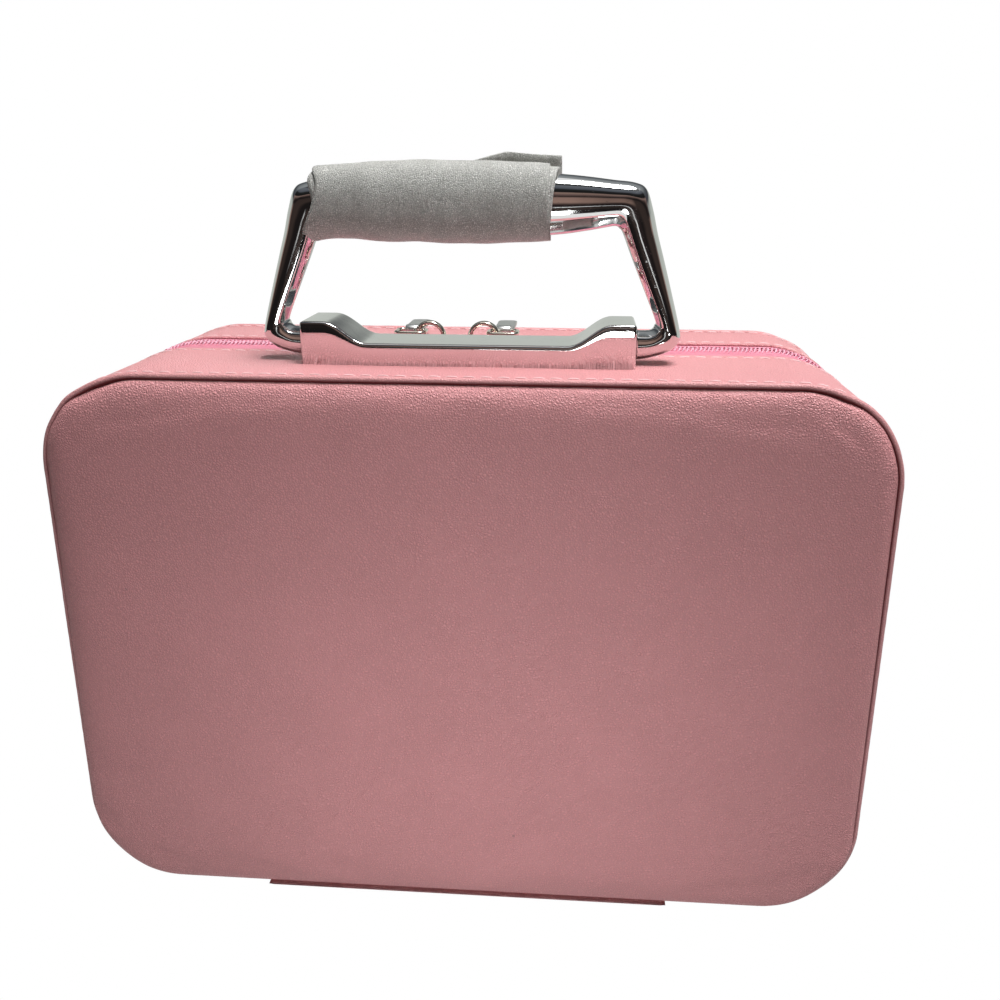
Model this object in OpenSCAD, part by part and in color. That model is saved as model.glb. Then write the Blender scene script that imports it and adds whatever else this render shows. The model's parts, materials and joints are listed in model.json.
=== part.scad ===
// Makeup storage case with a carry handle.
// A stiff zip-around case: a deep body carries the handle, and a shallow lid turns on a
// flexible spine along the bottom edge. The case stands upright on that spine.
// Axes: +X to the right, +Y from the front panel towards the lid, +Z up.
// The origin is on the floor, under the middle of the case.

/* [Case] */
// Width over the piping
case_w = 240; // [225:1:300]
// Height from the floor to the top of the piping
case_h = 167; // [145:1:220]
// Depth between the crowns of the two padded panels
case_d = 99; // [90:1:130]
// Depth of the lid half, from the middle of the zip to the crown of the rear panel
lid_d = 39.5; // [30:0.5:42]
// Outer radius of the four corners
corner_r = 29; // [24:0.5:45]

/* [Covering] */
// Radius of the piping bead
pipe_r = 1; // [0.8:0.1:2]
// Thickness of the leather covering
skin_t = 1; // [0.6:0.1:1.6]
// How far the covering lies inside the outer edge of the piping
skin_inset = 0.4; // [0.2:0.1:0.8]
// Thickness of the stiff board
board_t = 2.4; // [1.6:0.1:3.5]
// Thickness of the lining
lining_t = 0.8; // [0.5:0.1:1.5]
// How far a padded panel rises from its sewn edge to its crown
crown_h = 2.2; // [1:0.1:4]
// Thickness of a padded panel at its sewn edge
pad_t = 1.7; // [1:0.1:3]
// Width over which a padded panel rolls up from its edge
crown_reach = 20; // [8:1:20]
// Thickness of the piping's sewing flange
flange_t = 0.6; // [0.4:0.1:1]
// Width of the piping's sewing flange
flange_w = 5; // [3.5:0.5:8]

/* [Spine] */
// Length of the spine strip along the bottom
spine_w = 127; // [90:1:160]
// How far the spine strip stands below the piping
spine_t = 1; // [0.8:0.1:2]
// How far the spine strip reaches under the piping
spine_lip = 3; // [2:0.5:4]

/* [Zip] */
// Width of the band between the two leather edges
zip_band = 16; // [13:0.5:18]
// Width of the closed row of teeth
chain_w = 6; // [5:0.2:7]
// Thickness of the row of teeth
chain_t = 2; // [1.6:0.1:2.4]
// Width of the slot that a slider's post runs in
chain_slot = 0.8; // [0.7:0.05:1]
// Distance from one tooth to the next
tooth_pitch = 2.6; // [2.4:0.1:4]
// Thickness of the zip tape
tape_t = 0.6; // [0.4:0.1:0.8]
// Width of one zip tape
tape_w = 11; // [8:0.5:14]

/* [Zip sliders] */
// Place of the left slider, measured from the middle
slider_left_x = -16; // [-20:0.5:-14]
// Place of the right slider, measured from the middle
slider_right_x = 1.5; // [0:0.5:10]
// Length of a slider
slider_l = 10; // [8:0.5:12]
// Thickness of a slider's plates
slider_t = 1; // [0.8:0.1:1.2]
// Play between a slider and the zip
slider_play = 0.2; // [0.15:0.05:0.3]
// Outer radius of a slider's crown
crown_r = 4.6; // [4:0.1:5]
// Thickness of the crown's bar
crown_bar = 1.2; // [1:0.1:1.3]
// Width of the crown across the zip
crown_w = 2.2; // [1.6:0.1:3]
// Wire radius of a link
link_wire = 0.7; // [0.5:0.05:0.8]
// Distance between the wires at a link's two ends
link_l = 9.1; // [8:0.1:12]
// Distance between the wires at a link's two sides
link_w = 7.6; // [6.5:0.1:9]
// Length of a pull tab from its eye
tab_l = 20; // [14:1:26]
// Width of a pull tab
tab_w = 6.4; // [5:0.1:8]
// Thickness of a pull tab
tab_t = 1.2; // [0.8:0.1:1.6]

/* [Handle base] */
// Length of the base along the case
base_w = 96; // [84:1:110]
// Depth of the base, front to back
base_d = 20; // [17:1:22]
// Height of the base's two ends
base_end_h = 12.3; // [11:0.1:15]
// Height of the low middle of the base
base_mid_h = 6.2; // [5:0.1:8]
// Length of each flat end
base_end_w = 6.5; // [5:0.5:12]
// Length of each slope from end to middle
base_slope_w = 13; // [9:0.5:18]
// Bevel along the upper edges
base_bevel = 1; // [0.5:0.1:1.8]
// Wall thickness of the casting
base_wall = 2.2; // [1.6:0.1:3]
// Distance from the middle of the zip to the middle of the base
base_offset = 28.5; // [24:0.5:34]

/* [Bail] */
// Height of the pivot above the case top
pivot_h = 5.5; // [5.2:0.1:6]
// Radius of the pivot pins
pin_r = 2; // [1.5:0.1:2.4]
// Play of a pin in the base, on the radius
pin_play = 0.05; // [0.02:0.01:0.09]
// Depth of a pin in the base
pin_in_base = 11.5; // [8:0.5:14]
// Depth of a pin in the bail
pin_in_bail = 7.6; // [5:0.2:8]
// Gap between the base's ends and the bail
bail_gap = 0.4; // [0.2:0.1:1]
// Height of the grip's upper edge above the case top
grip_top = 53.6; // [48:0.2:64]
// Height of the grip at its middle
grip_h = 18.8; // [14:0.2:22]
// Half depth of the grip at its middle, front to back
grip_half_d = 7; // [5:0.1:8]
// Thickness of the foam sleeve round the grip
sleeve_t = 1.5; // [1:0.1:2]

/* [Handle fixing] */
// Radius of the screws' shanks
screw_r = 1.5; // [1.2:0.1:1.8]
// Radius of the screws' heads
screw_head_r = 2.8; // [2.4:0.1:3.2]
// Height of the screws' heads
screw_head_h = 1.7; // [1:0.1:2.2]
// Depth of the screws in the base
screw_in_base = 7.5; // [5:0.5:8]
// Distance between the screws along the case
screw_span_x = 82; // [76:1:84]
// Distance between the screws across the case
screw_span_y = 12; // [11:0.5:12.5]
// Thickness of the backing plate
plate_t = 1.2; // [0.8:0.1:2]
// Length of the backing plate
plate_w = 98; // [92:1:104]
// Depth of the backing plate
plate_d = 19; // [18:0.5:21]

/* [Inside] */
// Thickness of a padded divider
divider_t = 5; // [3:0.5:8]
// Depth of the dividers, front to back
divider_d = 40; // [30:1:42]
// Height of the long divider's middle above the floor
divider_z = 95; // [80:1:105]
// Distance from the middle to each upper short divider
upper_divider_x = 62; // [56:1:80]
// Distance from the middle to each lower short divider
lower_divider_x = 40; // [25:1:80]
// Width of the lid pocket
pocket_w = 200; // [120:1:205]
// Height of the lid pocket
pocket_h = 92; // [60:1:110]
// Radius of the pocket's lower corners
pocket_r = 14; // [6:1:20]
// Thickness of the pocket's net
net_t = 0.8; // [0.6:0.1:1.2]
// Height of the elastic band along the pocket's mouth
band_h = 9; // [6:0.5:14]
// How far the elastic band stands out from the net
band_t = 0.8; // [0.5:0.1:1.2]

/* [Hidden] */

$fn = 48;
eps = 0.01;

// Planes of the case
front_y = -case_d / 2;
zip_y = case_d / 2 - lid_d;
top_z = case_h - skin_inset;
board_in = skin_inset + skin_t;
lining_in = board_in + board_t;
inner_in = lining_in + lining_t;
panel_y = front_y + crown_h;
flange_y = panel_y + pad_t;
board_y = flange_y + flange_t;
floor_y = board_y + board_t + lining_t;
body_edge = zip_y - zip_band / 2;
lid_edge = -(zip_y + zip_band / 2);
ceiling_z = case_h - inner_in;
wall_x = case_w / 2 - inner_in;

// Zip
chain_in = skin_inset + 0.2;
chain_floor = chain_in + chain_t;
tape_in = board_in;
tooth_l = chain_w / 4;
tooth_w = tooth_pitch / 2;
coil_back = chain_w / 2 - tooth_l;

// Handle
base_y = zip_y - base_offset;
pivot_z = top_z + pivot_h;
elbow_x = base_w / 2 + bail_gap;

pink = [0.93, 0.62, 0.64];
pipe_pink = [0.82, 0.5, 0.53];
hot_pink = [0.98, 0.45, 0.6];
chrome = [0.8, 0.82, 0.84];
nickel = [0.72, 0.7, 0.66];
board_grey = [0.55, 0.52, 0.5];
cloth_pink = [0.85, 0.68, 0.7];
foam_grey = [0.82, 0.82, 0.8];

// ---------- Shared shapes ----------

function arc_points(c, r, a0, a1, n) =
    [for (i = [0:n]) let (a = a0 + (a1 - a0) * i / n) [c[0] + r * cos(a), c[1] + r * sin(a)]];

// The case outline, drawn in from the piping's outer edge, counter-clockwise
function outline_points(inset, n) =
    let (hw = case_w / 2 - inset, lo = spine_t + inset, hi = case_h - inset,
         r = max(corner_r - inset, 0.5))
    concat(arc_points([hw - r, lo + r], r, -90, 0, n),
           arc_points([hw - r, hi - r], r, 0, 90, n),
           arc_points([r - hw, hi - r], r, 90, 180, n),
           arc_points([r - hw, lo + r], r, 180, 270, n));

module rounded_rect(w, h, r) {
    square([w - 2 * r, h], center = true);
    square([w, h - 2 * r], center = true);
    for (sx = [-1, 1], sy = [-1, 1])
        translate([sx * (w / 2 - r), sy * (h / 2 - r)]) circle(r);
}

module outline(inset) {
    translate([0, (case_h + spine_t) / 2])
        rounded_rect(case_w - 2 * inset, case_h - spine_t - 2 * inset, corner_r - inset);
}

// A plate of the case outline between two Y planes
module slab(inset, y0, y1) {
    translate([0, y1, 0]) rotate([90, 0, 0]) linear_extrude(y1 - y0) outline(inset);
}

// A ring of the case outline between two Y planes
module band(outer, inner, y0, y1) {
    translate([0, y1, 0]) rotate([90, 0, 0]) linear_extrude(y1 - y0) difference() {
        outline(outer);
        outline(inner);
    }
}

// A solid through a list of rings of points, closed by flat ends
module loft(rings) {
    n = len(rings[0]);
    m = len(rings);
    sides = [for (k = [0:m - 2], i = [0:n - 1])
        let (a = k * n + i, b = k * n + (i + 1) % n)
        each [[a, b, b + n], [a, b + n, a + n]]];
    caps = [[for (i = [n - 1:-1:0]) i], [for (i = [0:n - 1]) (m - 1) * n + i]];
    polyhedron([for (r = rings) each r], concat(sides, caps));
}

// A tube through two lists of rings, the inner list lying inside the outer one
module loft_tube(outer, inner) {
    n = len(outer[0]);
    m = len(outer);
    half = n * m;
    sides = [for (k = [0:m - 2], i = [0:n - 1])
        let (a = k * n + i, b = k * n + (i + 1) % n, c = half + a, d = half + b)
        each [[a, b, b + n], [a, b + n, a + n], [c, d + n, d], [c, c + n, d + n]]];
    ends = [for (i = [0:n - 1])
        let (b = (i + 1) % n, last = (m - 1) * n)
        each [[i, half + i, half + b], [i, half + b, b],
              [last + i, half + last + b, half + last + i], [last + i, last + b, half + last + b]]];
    polyhedron(concat([for (r = outer) each r], [for (r = inner) each r]), concat(sides, ends));
}

// The four screw axes through the top wall
module at_screws() {
    for (sx = [-1, 1], sy = [-1, 1])
        translate([sx * screw_span_x / 2, base_y + sy * screw_span_y / 2, 0]) children();
}

module screw_holes() {
    at_screws() translate([0, 0, ceiling_z - plate_t - 1])
        cylinder(h = inner_in + plate_t + 2, r = screw_r + 0.1);
}

// ---------- The two halves, drawn for the body and mirrored for the lid ----------

module half_shell(edge) {
    difference() {
        slab(board_in, board_y, edge - 1);
        slab(lining_in, board_y + board_t, edge);
        band(board_in - 1, board_in + tape_t, edge + zip_band / 2 - chain_w / 2 - tape_w, edge);
    }
}

module half_skin(edge) {
    band(skin_inset, board_in, board_y, edge);
}

module half_lining(edge) {
    difference() {
        slab(lining_in, board_y + board_t, edge - 1);
        slab(inner_in, floor_y, edge);
    }
}

// The padded panel rolls up from its sewn edge to a nearly flat crown
module half_panel() {
    reach = min(crown_reach, corner_r - 2 * pipe_r - 2);
    steps = [0, 0.02, 0.06, 0.13, 0.25, 0.45, 0.7, 1];
    edge_in = 2 * pipe_r + 0.1;
    face = [for (s = steps)
        let (rise = crown_h * (0.78 * pow(sin(min(s / 0.3, 1) * 90), 0.8) + 0.22 * sin(s * 90)))
        [for (p = outline_points(edge_in + s * reach, 8)) [p[0], panel_y - rise, p[1]]]];
    back = [[for (p = outline_points(edge_in, 8)) [p[0], flange_y, p[1]]]];
    loft(concat(back, face));
}

// The piping: a round bead with a flat flange that is sewn in behind the panel
module half_piping() {
    bead_y = flange_y - pipe_r + 0.2;
    run_x = case_w - 2 * corner_r;
    run_z = case_h - spine_t - 2 * corner_r;
    mid_z = (case_h + spine_t) / 2;
    for (s = [-1, 1]) {
        translate([0, bead_y, mid_z + s * (run_z / 2 + corner_r - pipe_r)])
            rotate([0, 90, 0]) cylinder(h = run_x, r = pipe_r, center = true);
        translate([s * (run_x / 2 + corner_r - pipe_r), bead_y, mid_z])
            cylinder(h = run_z, r = pipe_r, center = true);
    }
    for (q = [0:3]) let (sx = q == 0 || q == 3 ? 1 : -1, sz = q < 2 ? 1 : -1)
        translate([sx * run_x / 2, bead_y, mid_z + sz * run_z / 2])
            rotate([90, 0, 0]) rotate([0, 0, 90 * q])
                rotate_extrude(angle = 90) translate([corner_r - pipe_r, 0]) circle(pipe_r);
    band(pipe_r, pipe_r + flange_w, flange_y, board_y);
}

// The stretch along the bottom that the spine takes, where there is no zip
module spine_gap() {
    translate([-spine_w / 2, -case_d, -1]) cube([spine_w, 2 * case_d, corner_r]);
}

module half_tape(edge) {
    chain_edge = edge + zip_band / 2 - chain_w / 2;
    difference() {
        band(tape_in, tape_in + tape_t, chain_edge - tape_w, chain_edge);
        spine_gap();
    }
}

// Tooth places along the outline: [x, z, direction of the outward normal]
function straight_teeth(p, q, a) =
    let (l = norm(q - p), n = floor(l / tooth_pitch))
    [for (i = [0:n - 1]) let (t = (i + 0.5) / n) [p[0] + (q[0] - p[0]) * t, p[1] + (q[1] - p[1]) * t, a]];

function corner_teeth(c, r, a0) =
    let (n = floor(r * PI / 2 / tooth_pitch))
    [for (i = [0:n - 1]) let (a = a0 + 90 * (i + 0.5) / n) [c[0] + r * cos(a), c[1] + r * sin(a), a]];

function tooth_places() =
    let (m = chain_in + chain_t / 2, hw = case_w / 2 - m, lo = spine_t + m, hi = case_h - m,
         r = corner_r - m, cx = case_w / 2 - corner_r, cl = spine_t + corner_r, ch = case_h - corner_r)
    concat(straight_teeth([cx, hi], [-cx, hi], 90), straight_teeth([hw, cl], [hw, ch], 0),
           straight_teeth([-hw, cl], [-hw, ch], 180),
           straight_teeth([spine_w / 2 + 1, lo], [cx, lo], -90),
           straight_teeth([-cx, lo], [-spine_w / 2 - 1, lo], -90),
           corner_teeth([cx, cl], r, -90), corner_teeth([cx, ch], r, 0),
           corner_teeth([-cx, ch], r, 90), corner_teeth([-cx, cl], r, 180));

// One row of teeth: a backing strip and a comb that faces the other row
module half_teeth(edge) {
    back_y = edge + zip_band / 2 - chain_w / 2;
    tip_y = edge + zip_band / 2 - chain_slot / 2;
    difference() {
        band(chain_in, chain_floor, back_y, back_y + coil_back);
        spine_gap();
    }
    translate([0, tip_y, 0]) rotate([90, 0, 0])
        linear_extrude(tip_y - back_y - coil_back + eps)
            for (t = tooth_places()) translate([t[0], t[1]]) rotate(t[2])
                square([chain_t - 0.2, tooth_w], center = true);
}

// ---------- Body ----------

module body_shell() {
    color(board_grey) difference() {
        half_shell(body_edge);
        screw_holes();
    }
}

module body_skin() {
    color(pink) difference() {
        half_skin(body_edge);
        screw_holes();
    }
}

module front_panel() {
    color(pink) half_panel();
}

module front_piping() {
    color(pipe_pink) half_piping();
}

module body_lining() {
    color(cloth_pink) difference() {
        half_lining(body_edge);
        screw_holes();
    }
}

module body_zip_tape() {
    color(hot_pink) half_tape(body_edge);
}

module body_zip_teeth() {
    color(hot_pink) half_teeth(body_edge);
}

// The spine strip's outline across the case; it ends below the front of the piping
module spine_strip(y0, y1, lip) {
    side = lip > 0 ? y0 : y1;
    translate([-spine_w / 2, 0, 0]) rotate([90, 0, 90]) linear_extrude(spine_w)
        polygon(lip > 0
            ? [[y0 - lip, 0], [y1, 0], [y1, spine_t + skin_inset], [side, spine_t + skin_inset],
               [side, spine_t], [y0 - lip, spine_t]]
            : [[y0, 0], [y1 - lip, 0], [y1 - lip, spine_t], [side, spine_t],
               [side, spine_t + skin_inset], [y0, spine_t + skin_inset]]);
}

module body_spine() {
    color(pipe_pink) spine_strip(board_y, zip_y, spine_lip);
}

module long_divider() {
    color(cloth_pink) translate([-wall_x, floor_y, divider_z - divider_t / 2])
        cube([2 * wall_x, divider_d, divider_t]);
}

module short_divider(x, z0, z1) {
    color(cloth_pink) translate([x - divider_t / 2, floor_y, z0])
        cube([divider_t, divider_d, z1 - z0]);
}

module upper_divider(side) {
    short_divider(side * upper_divider_x, divider_z + divider_t / 2, ceiling_z);
}

module lower_divider(side) {
    short_divider(side * lower_divider_x, spine_t + inner_in, divider_z - divider_t / 2);
}

// ---------- Handle base and its fixing ----------

// Upper outline of the base, from the right end to the middle, as [x, height]
function slope_points(n) =
    let (x1 = base_w / 2 - base_end_w, drop = base_end_h - base_mid_h)
    [for (i = [0:n]) let (t = i / n, s = 0.5 - 0.5 * cos(180 * t)) [x1 - base_slope_w * t, base_end_h - drop * s]];

// The whole upper outline from right to left, drawn in by a bevel
function base_upper(inset) =
    let (x = base_w / 2 - inset, r = 0.8,
         right = concat([[x, base_end_h - r - inset], [x - r, base_end_h - inset]],
                        [for (p = slope_points(8)) [p[0], p[1] - inset]]))
    concat(right, [for (i = [len(right) - 1:-1:0]) [-right[i][0], right[i][1]]]);

// A solid whose sections stand on z = 0 under their upper outlines; stations are [y, bevel]
module base_block(stations) {
    n = len(base_upper(0));
    ring = 2 * n;
    m = len(stations);
    points = [for (s = stations) let (top = base_upper(s[1]))
        each concat([for (p = top) [p[0], s[0], p[1]]], [for (i = [n - 1:-1:0]) [top[i][0], s[0], 0]])];
    sides = [for (k = [0:m - 2], i = [0:ring - 1])
        let (a = k * ring + i, b = k * ring + (i + 1) % ring)
        each [[a, b, b + ring], [a, b + ring, a + ring]]];
    caps = [for (i = [0:n - 2])
        let (j = ring - 1 - i, last = (m - 1) * ring)
        each [[i + 1, i, j], [i + 1, j, j - 1],
              [last + i, last + i + 1, last + j - 1], [last + i, last + j - 1, last + j]]];
    polyhedron(points, concat(sides, caps));
}

module handle_base() {
    half_d = base_d / 2;
    stations = [[-half_d, base_bevel], [base_bevel - half_d, 0], [half_d - base_bevel, 0], [half_d, base_bevel]];
    pocket_x = base_w / 2 - base_end_w - base_slope_w;
    color(chrome) translate([0, base_y, top_z]) difference() {
        base_block(stations);
        translate([-pocket_x, base_wall - half_d, -1])
            cube([2 * pocket_x, base_d - 2 * base_wall, base_mid_h - base_wall + 1]);
        for (s = [-1, 1]) {
            translate([s * (base_w / 2 - pin_in_base / 2), 0, pivot_h]) rotate([0, 90, 0])
                cylinder(h = pin_in_base + 2 * eps, r = pin_r + pin_play, center = true);
            for (q = [-1, 1])
                translate([s * screw_span_x / 2, q * screw_span_y / 2, -1])
                    cylinder(h = screw_in_base + 1, r = screw_r + 0.02);
        }
    }
}

module backing_plate() {
    color(nickel) difference() {
        translate([-plate_w / 2, base_y - plate_d / 2, ceiling_z - plate_t])
            cube([plate_w, plate_d, plate_t]);
        screw_holes();
    }
}

module handle_screws() {
    head_z = ceiling_z - plate_t - screw_head_h;
    shank_l = screw_head_h + plate_t + inner_in - skin_inset + screw_in_base - 0.5;
    color(nickel) at_screws() translate([0, 0, head_z]) {
        difference() {
            cylinder(h = screw_head_h, r = screw_head_r);
            translate([0, 0, -eps]) cylinder(h = 0.9, r = 1.1, $fn = 6);
        }
        translate([0, 0, screw_head_h - eps]) cylinder(h = shank_l - screw_head_h, r = screw_r);
    }
}

// ---------- Bail ----------

// Half of the bail from the elbow's end to the middle of the grip. Each station holds the
// outer edge [x, height], the inner edge [x, height] and the half depth front to back.
// Widths are added to the elbow's place and heights above the pivot stretch with the grip.
function bail_stations() =
    let (e = elbow_x, g = grip_top, w = base_w / 96, b = grip_half_d)
    [[[e, pivot_h - 4.3], [e, pivot_h + 4.1], 4.2],
     [[e + 4.1, pivot_h - 3.6], [e + 3.2, pivot_h + 4.1], 4.5],
     [[e + 9.2, pivot_h - 1.9], [e + 4.4, pivot_h + 4.6], 4.8],
     [[e + 12.2, pivot_h + 1], [e + 4.9, pivot_h + 5.6], 4.9],
     [[e + 12.2, pivot_h + 4.2], [e + 5.1, pivot_h + 7], 5],
     [[e + 9.5, g * 0.37], [e + 2, g * 0.37], 5.1],
     [[e + 6.6, g * 0.56], [e - 2.4, g * 0.56], 5.2],
     [[e + 4.7, g * 0.68], [e - 5.2, g - grip_h + 1.9], 5.3],
     [[e + 3.1, g * 0.8], [e - 6.2, g - grip_h + 3.1], 5.4],
     [[e + 1.1, g - 5.2], [e - 6.9, g - grip_h + 3.5], 5.5],
     [[e - 2.2, g - 3.4], [e - 7.8, g - grip_h + 3.5], 5.6],
     [[e - 8, g - 2.7], [e - 9.4, g - grip_h + 3.2], b * 0.83],
     [[33 * w, g - 1.8], [33 * w, g - grip_h + 2.1], b * 0.89],
     [[25 * w, g - 1.1], [25 * w, g - grip_h + 1], b * 0.95],
     [[12 * w, g - 0.3], [12 * w, g - grip_h + 0.2], b * 0.99],
     [[0, g], [0, g - grip_h], b]];

// A smooth curve through a list of values, at whole and half steps
function smooth_at(v, i, t) =
    let (n = len(v), p0 = v[max(i - 1, 0)], p1 = v[i], p2 = v[min(i + 1, n - 1)], p3 = v[min(i + 2, n - 1)])
    0.5 * (2 * p1 + (p2 - p0) * t + (2 * p0 - 5 * p1 + 4 * p2 - p3) * t * t
           + (3 * p1 - p0 - 3 * p2 + p3) * t * t * t);

function bail_half() =
    let (s = bail_stations(), flat = [for (k = s) [k[0][0], k[0][1], k[1][0], k[1][1], k[2]]])
    [for (i = [0:len(s) - 2], t = [0, 0.5]) smooth_at(flat, i, t)];

function bail_whole() =
    let (h = bail_half(), m = [0, grip_top, 0, grip_top - grip_h, grip_half_d], n = len(h))
    concat([for (k = h) [-k[0], k[1], -k[2], k[3], k[4]]], [m], [for (i = [n - 1:-1:0]) h[i]]);

// A ring of points round one station, drawn out by a margin; the section is a soft oblong
function bail_ring(k, margin, n) =
    let (o = [k[0], k[1]], i = [k[2], k[3]], c = (o + i) / 2, half = norm(o - i) / 2, u = (o - i) / norm(o - i),
         power = 0.8)
    [for (j = [0:n - 1]) let (a = 360 * j / n, ca = cos(a), sa = sin(a),
        r = (half + margin) * sign(ca) * pow(abs(ca), power),
        d = (k[4] + margin) * sign(sa) * pow(abs(sa), power))
        [c[0] + u[0] * r, base_y + d, top_z + c[1] + u[1] * r]];

module bail() {
    color(chrome) difference() {
        loft([for (k = bail_whole()) bail_ring(k, 0, 20)]);
        for (s = [-1, 1])
            translate([s * (elbow_x + pin_in_bail / 2), base_y, pivot_z]) rotate([0, 90, 0])
                cylinder(h = pin_in_bail + 2 * eps, r = pin_r, center = true);
    }
}

module pivot_pin(side) {
    pin_l = pin_in_base + bail_gap + pin_in_bail - 0.5;
    color(nickel) translate([side * (elbow_x + pin_in_bail - pin_l / 2), base_y, pivot_z])
        rotate([0, 90, 0]) cylinder(h = pin_l, r = pin_r, center = true);
}

// The foam sleeve follows the grip from its left corner to beyond the middle
module grip_sleeve() {
    rings = bail_whole();
    mid = (len(rings) - 1) / 2;
    part = [for (i = [mid - 9:mid + 4]) rings[i]];
    color(foam_grey) loft_tube([for (k = part) bail_ring(k, sleeve_t + 0.05, 20)],
                               [for (k = part) bail_ring(k, 0.05, 20)]);
}

// ---------- Zip sliders, drawn with the pull towards +X ----------

post_t = chain_slot - 0.3;
lip_y = chain_w / 2 + slider_play;
lip_t = 0.8;
plate_y = lip_y + lip_t;
plate_z = slider_play - chain_in + skin_inset;
link_x = 1.5;
link_z = plate_z + slider_t + 3;
arch_z = plate_z + slider_t + 1.4;
tab_x = link_x + link_l / 2;
link_bend = 1.8;

module slider_plate() {
    polygon([[-slider_l / 2, -0.76 * plate_y], [-slider_l / 4, -plate_y], [0.38 * slider_l, -plate_y],
             [slider_l / 2, -0.76 * plate_y], [slider_l / 2, 0.76 * plate_y], [0.38 * slider_l, plate_y],
             [-slider_l / 4, plate_y], [-slider_l / 2, 0.76 * plate_y]]);
}

// Height of the sliders' datum: the surface of the leather at the top of the case
module at_slider(side) {
    translate([side < 0 ? slider_left_x : slider_right_x, zip_y, top_z]) mirror([side < 0 ? 1 : 0, 0, 0]) children();
}

module slider(side) {
    under_z = skin_inset - chain_floor - slider_play;
    tape_top = skin_inset - tape_in + slider_play;
    tape_under = skin_inset - tape_in - tape_t - slider_play;
    color(nickel) at_slider(side) {
        translate([0, 0, plate_z]) linear_extrude(slider_t) slider_plate();
        translate([0, 0, under_z - slider_t]) linear_extrude(slider_t) intersection() {
            slider_plate();
            translate([-slider_l, -2 * plate_y]) square([2 * slider_l, 2 * plate_y + post_t / 2]);
        }
        translate([-slider_l / 4, -post_t / 2, under_z - eps])
            cube([slider_l / 2, post_t, plate_z - under_z + 2 * eps]);
        translate([-slider_l / 4, -plate_y, tape_top])
            cube([0.63 * slider_l, lip_t, plate_z - tape_top + eps]);
        translate([-slider_l / 4, -plate_y, under_z - eps])
            cube([0.63 * slider_l, lip_t, tape_under - under_z + eps]);
        translate([0, crown_w / 2, 0]) rotate([90, 0, 0]) linear_extrude(crown_w) difference() {
            union() {
                translate([0, arch_z]) circle(crown_r);
                translate([-crown_r, plate_z + slider_t - eps])
                    square([2 * crown_r, arch_z - plate_z - slider_t + eps]);
            }
            translate([0, arch_z]) circle(crown_r - crown_bar);
            translate([crown_bar - crown_r, plate_z + slider_t])
                square([2 * (crown_r - crown_bar), arch_z - plate_z - slider_t]);
            translate([-2 * crown_r, plate_z + slider_t - 2 * crown_r - eps])
                square([4 * crown_r, 2 * crown_r]);
        }
    }
}

module link(side) {
    straight_x = link_l - 2 * link_bend;
    straight_y = link_w - 2 * link_bend;
    color(nickel) at_slider(side) translate([tab_x, 0, link_z]) {
        for (s = [-1, 1]) {
            translate([0, s * link_w / 2, 0]) rotate([0, 90, 0])
                cylinder(h = straight_x, r = link_wire, center = true);
            translate([s * link_l / 2, 0, 0]) rotate([90, 0, 0])
                cylinder(h = straight_y, r = link_wire, center = true);
        }
        for (q = [0:3]) let (sx = q == 0 || q == 3 ? 1 : -1, sy = q < 2 ? 1 : -1)
            translate([sx * straight_x / 2, sy * straight_y / 2, 0]) rotate([0, 0, 90 * q])
                rotate_extrude(angle = 90) translate([link_bend, 0]) circle(link_wire);
    }
}

module tab(side) {
    eye_r = link_wire + 0.95;
    eye_l = link_l - 2 * link_bend - 0.8;
    flat_y = eye_r - 0.3;
    flat_l = tab_l - flat_y;
    color(nickel) at_slider(side) translate([tab_x, link_w / 2, link_z]) difference() {
        union() {
            rotate([0, 90, 0]) cylinder(h = eye_l, r = eye_r, center = true);
            translate([0, flat_y + flat_l / 2, -tab_t / 2]) linear_extrude(tab_t)
                rounded_rect(tab_w, flat_l, 1.5);
            translate([-eye_l / 2, 0, -tab_t / 2]) cube([eye_l, flat_y + 2, tab_t]);
        }
        rotate([0, 90, 0]) cylinder(h = eye_l + 2, r = link_wire + 0.15, center = true);
    }
}

// ---------- Lid ----------

module lid_shell() {
    color(board_grey) mirror([0, 1, 0]) half_shell(lid_edge);
}

module lid_skin() {
    color(pink) mirror([0, 1, 0]) half_skin(lid_edge);
}

module rear_panel() {
    color(pink) mirror([0, 1, 0]) half_panel();
}

module rear_piping() {
    color(pipe_pink) mirror([0, 1, 0]) half_piping();
}

module lid_lining() {
    color(cloth_pink) mirror([0, 1, 0]) half_lining(lid_edge);
}

module lid_zip_tape() {
    color(hot_pink) mirror([0, 1, 0]) half_tape(lid_edge);
}

module lid_zip_teeth() {
    color(hot_pink) mirror([0, 1, 0]) half_teeth(lid_edge);
}

module lid_spine() {
    color(pipe_pink) spine_strip(zip_y, -board_y, -spine_lip);
}

// The pocket's outline: square above, rounded below
module pocket_outline() {
    translate([0, spine_t + inner_in + 4]) {
        translate([-pocket_w / 2, pocket_r]) square([pocket_w, pocket_h - pocket_r]);
        translate([pocket_r - pocket_w / 2, 0]) square([pocket_w - 2 * pocket_r, pocket_r]);
        for (s = [-1, 1]) translate([s * (pocket_w / 2 - pocket_r), pocket_r]) circle(pocket_r);
    }
}

module lid_pocket() {
    color(cloth_pink) translate([0, -floor_y, 0]) rotate([90, 0, 0]) linear_extrude(net_t) pocket_outline();
}

module pocket_band() {
    color(pipe_pink)
        translate([-pocket_w / 2, -floor_y - net_t - band_t, spine_t + inner_in + 4 + pocket_h - band_h])
            cube([pocket_w, band_t, band_h]);
}

// ---------- Nodes ----------

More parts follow.
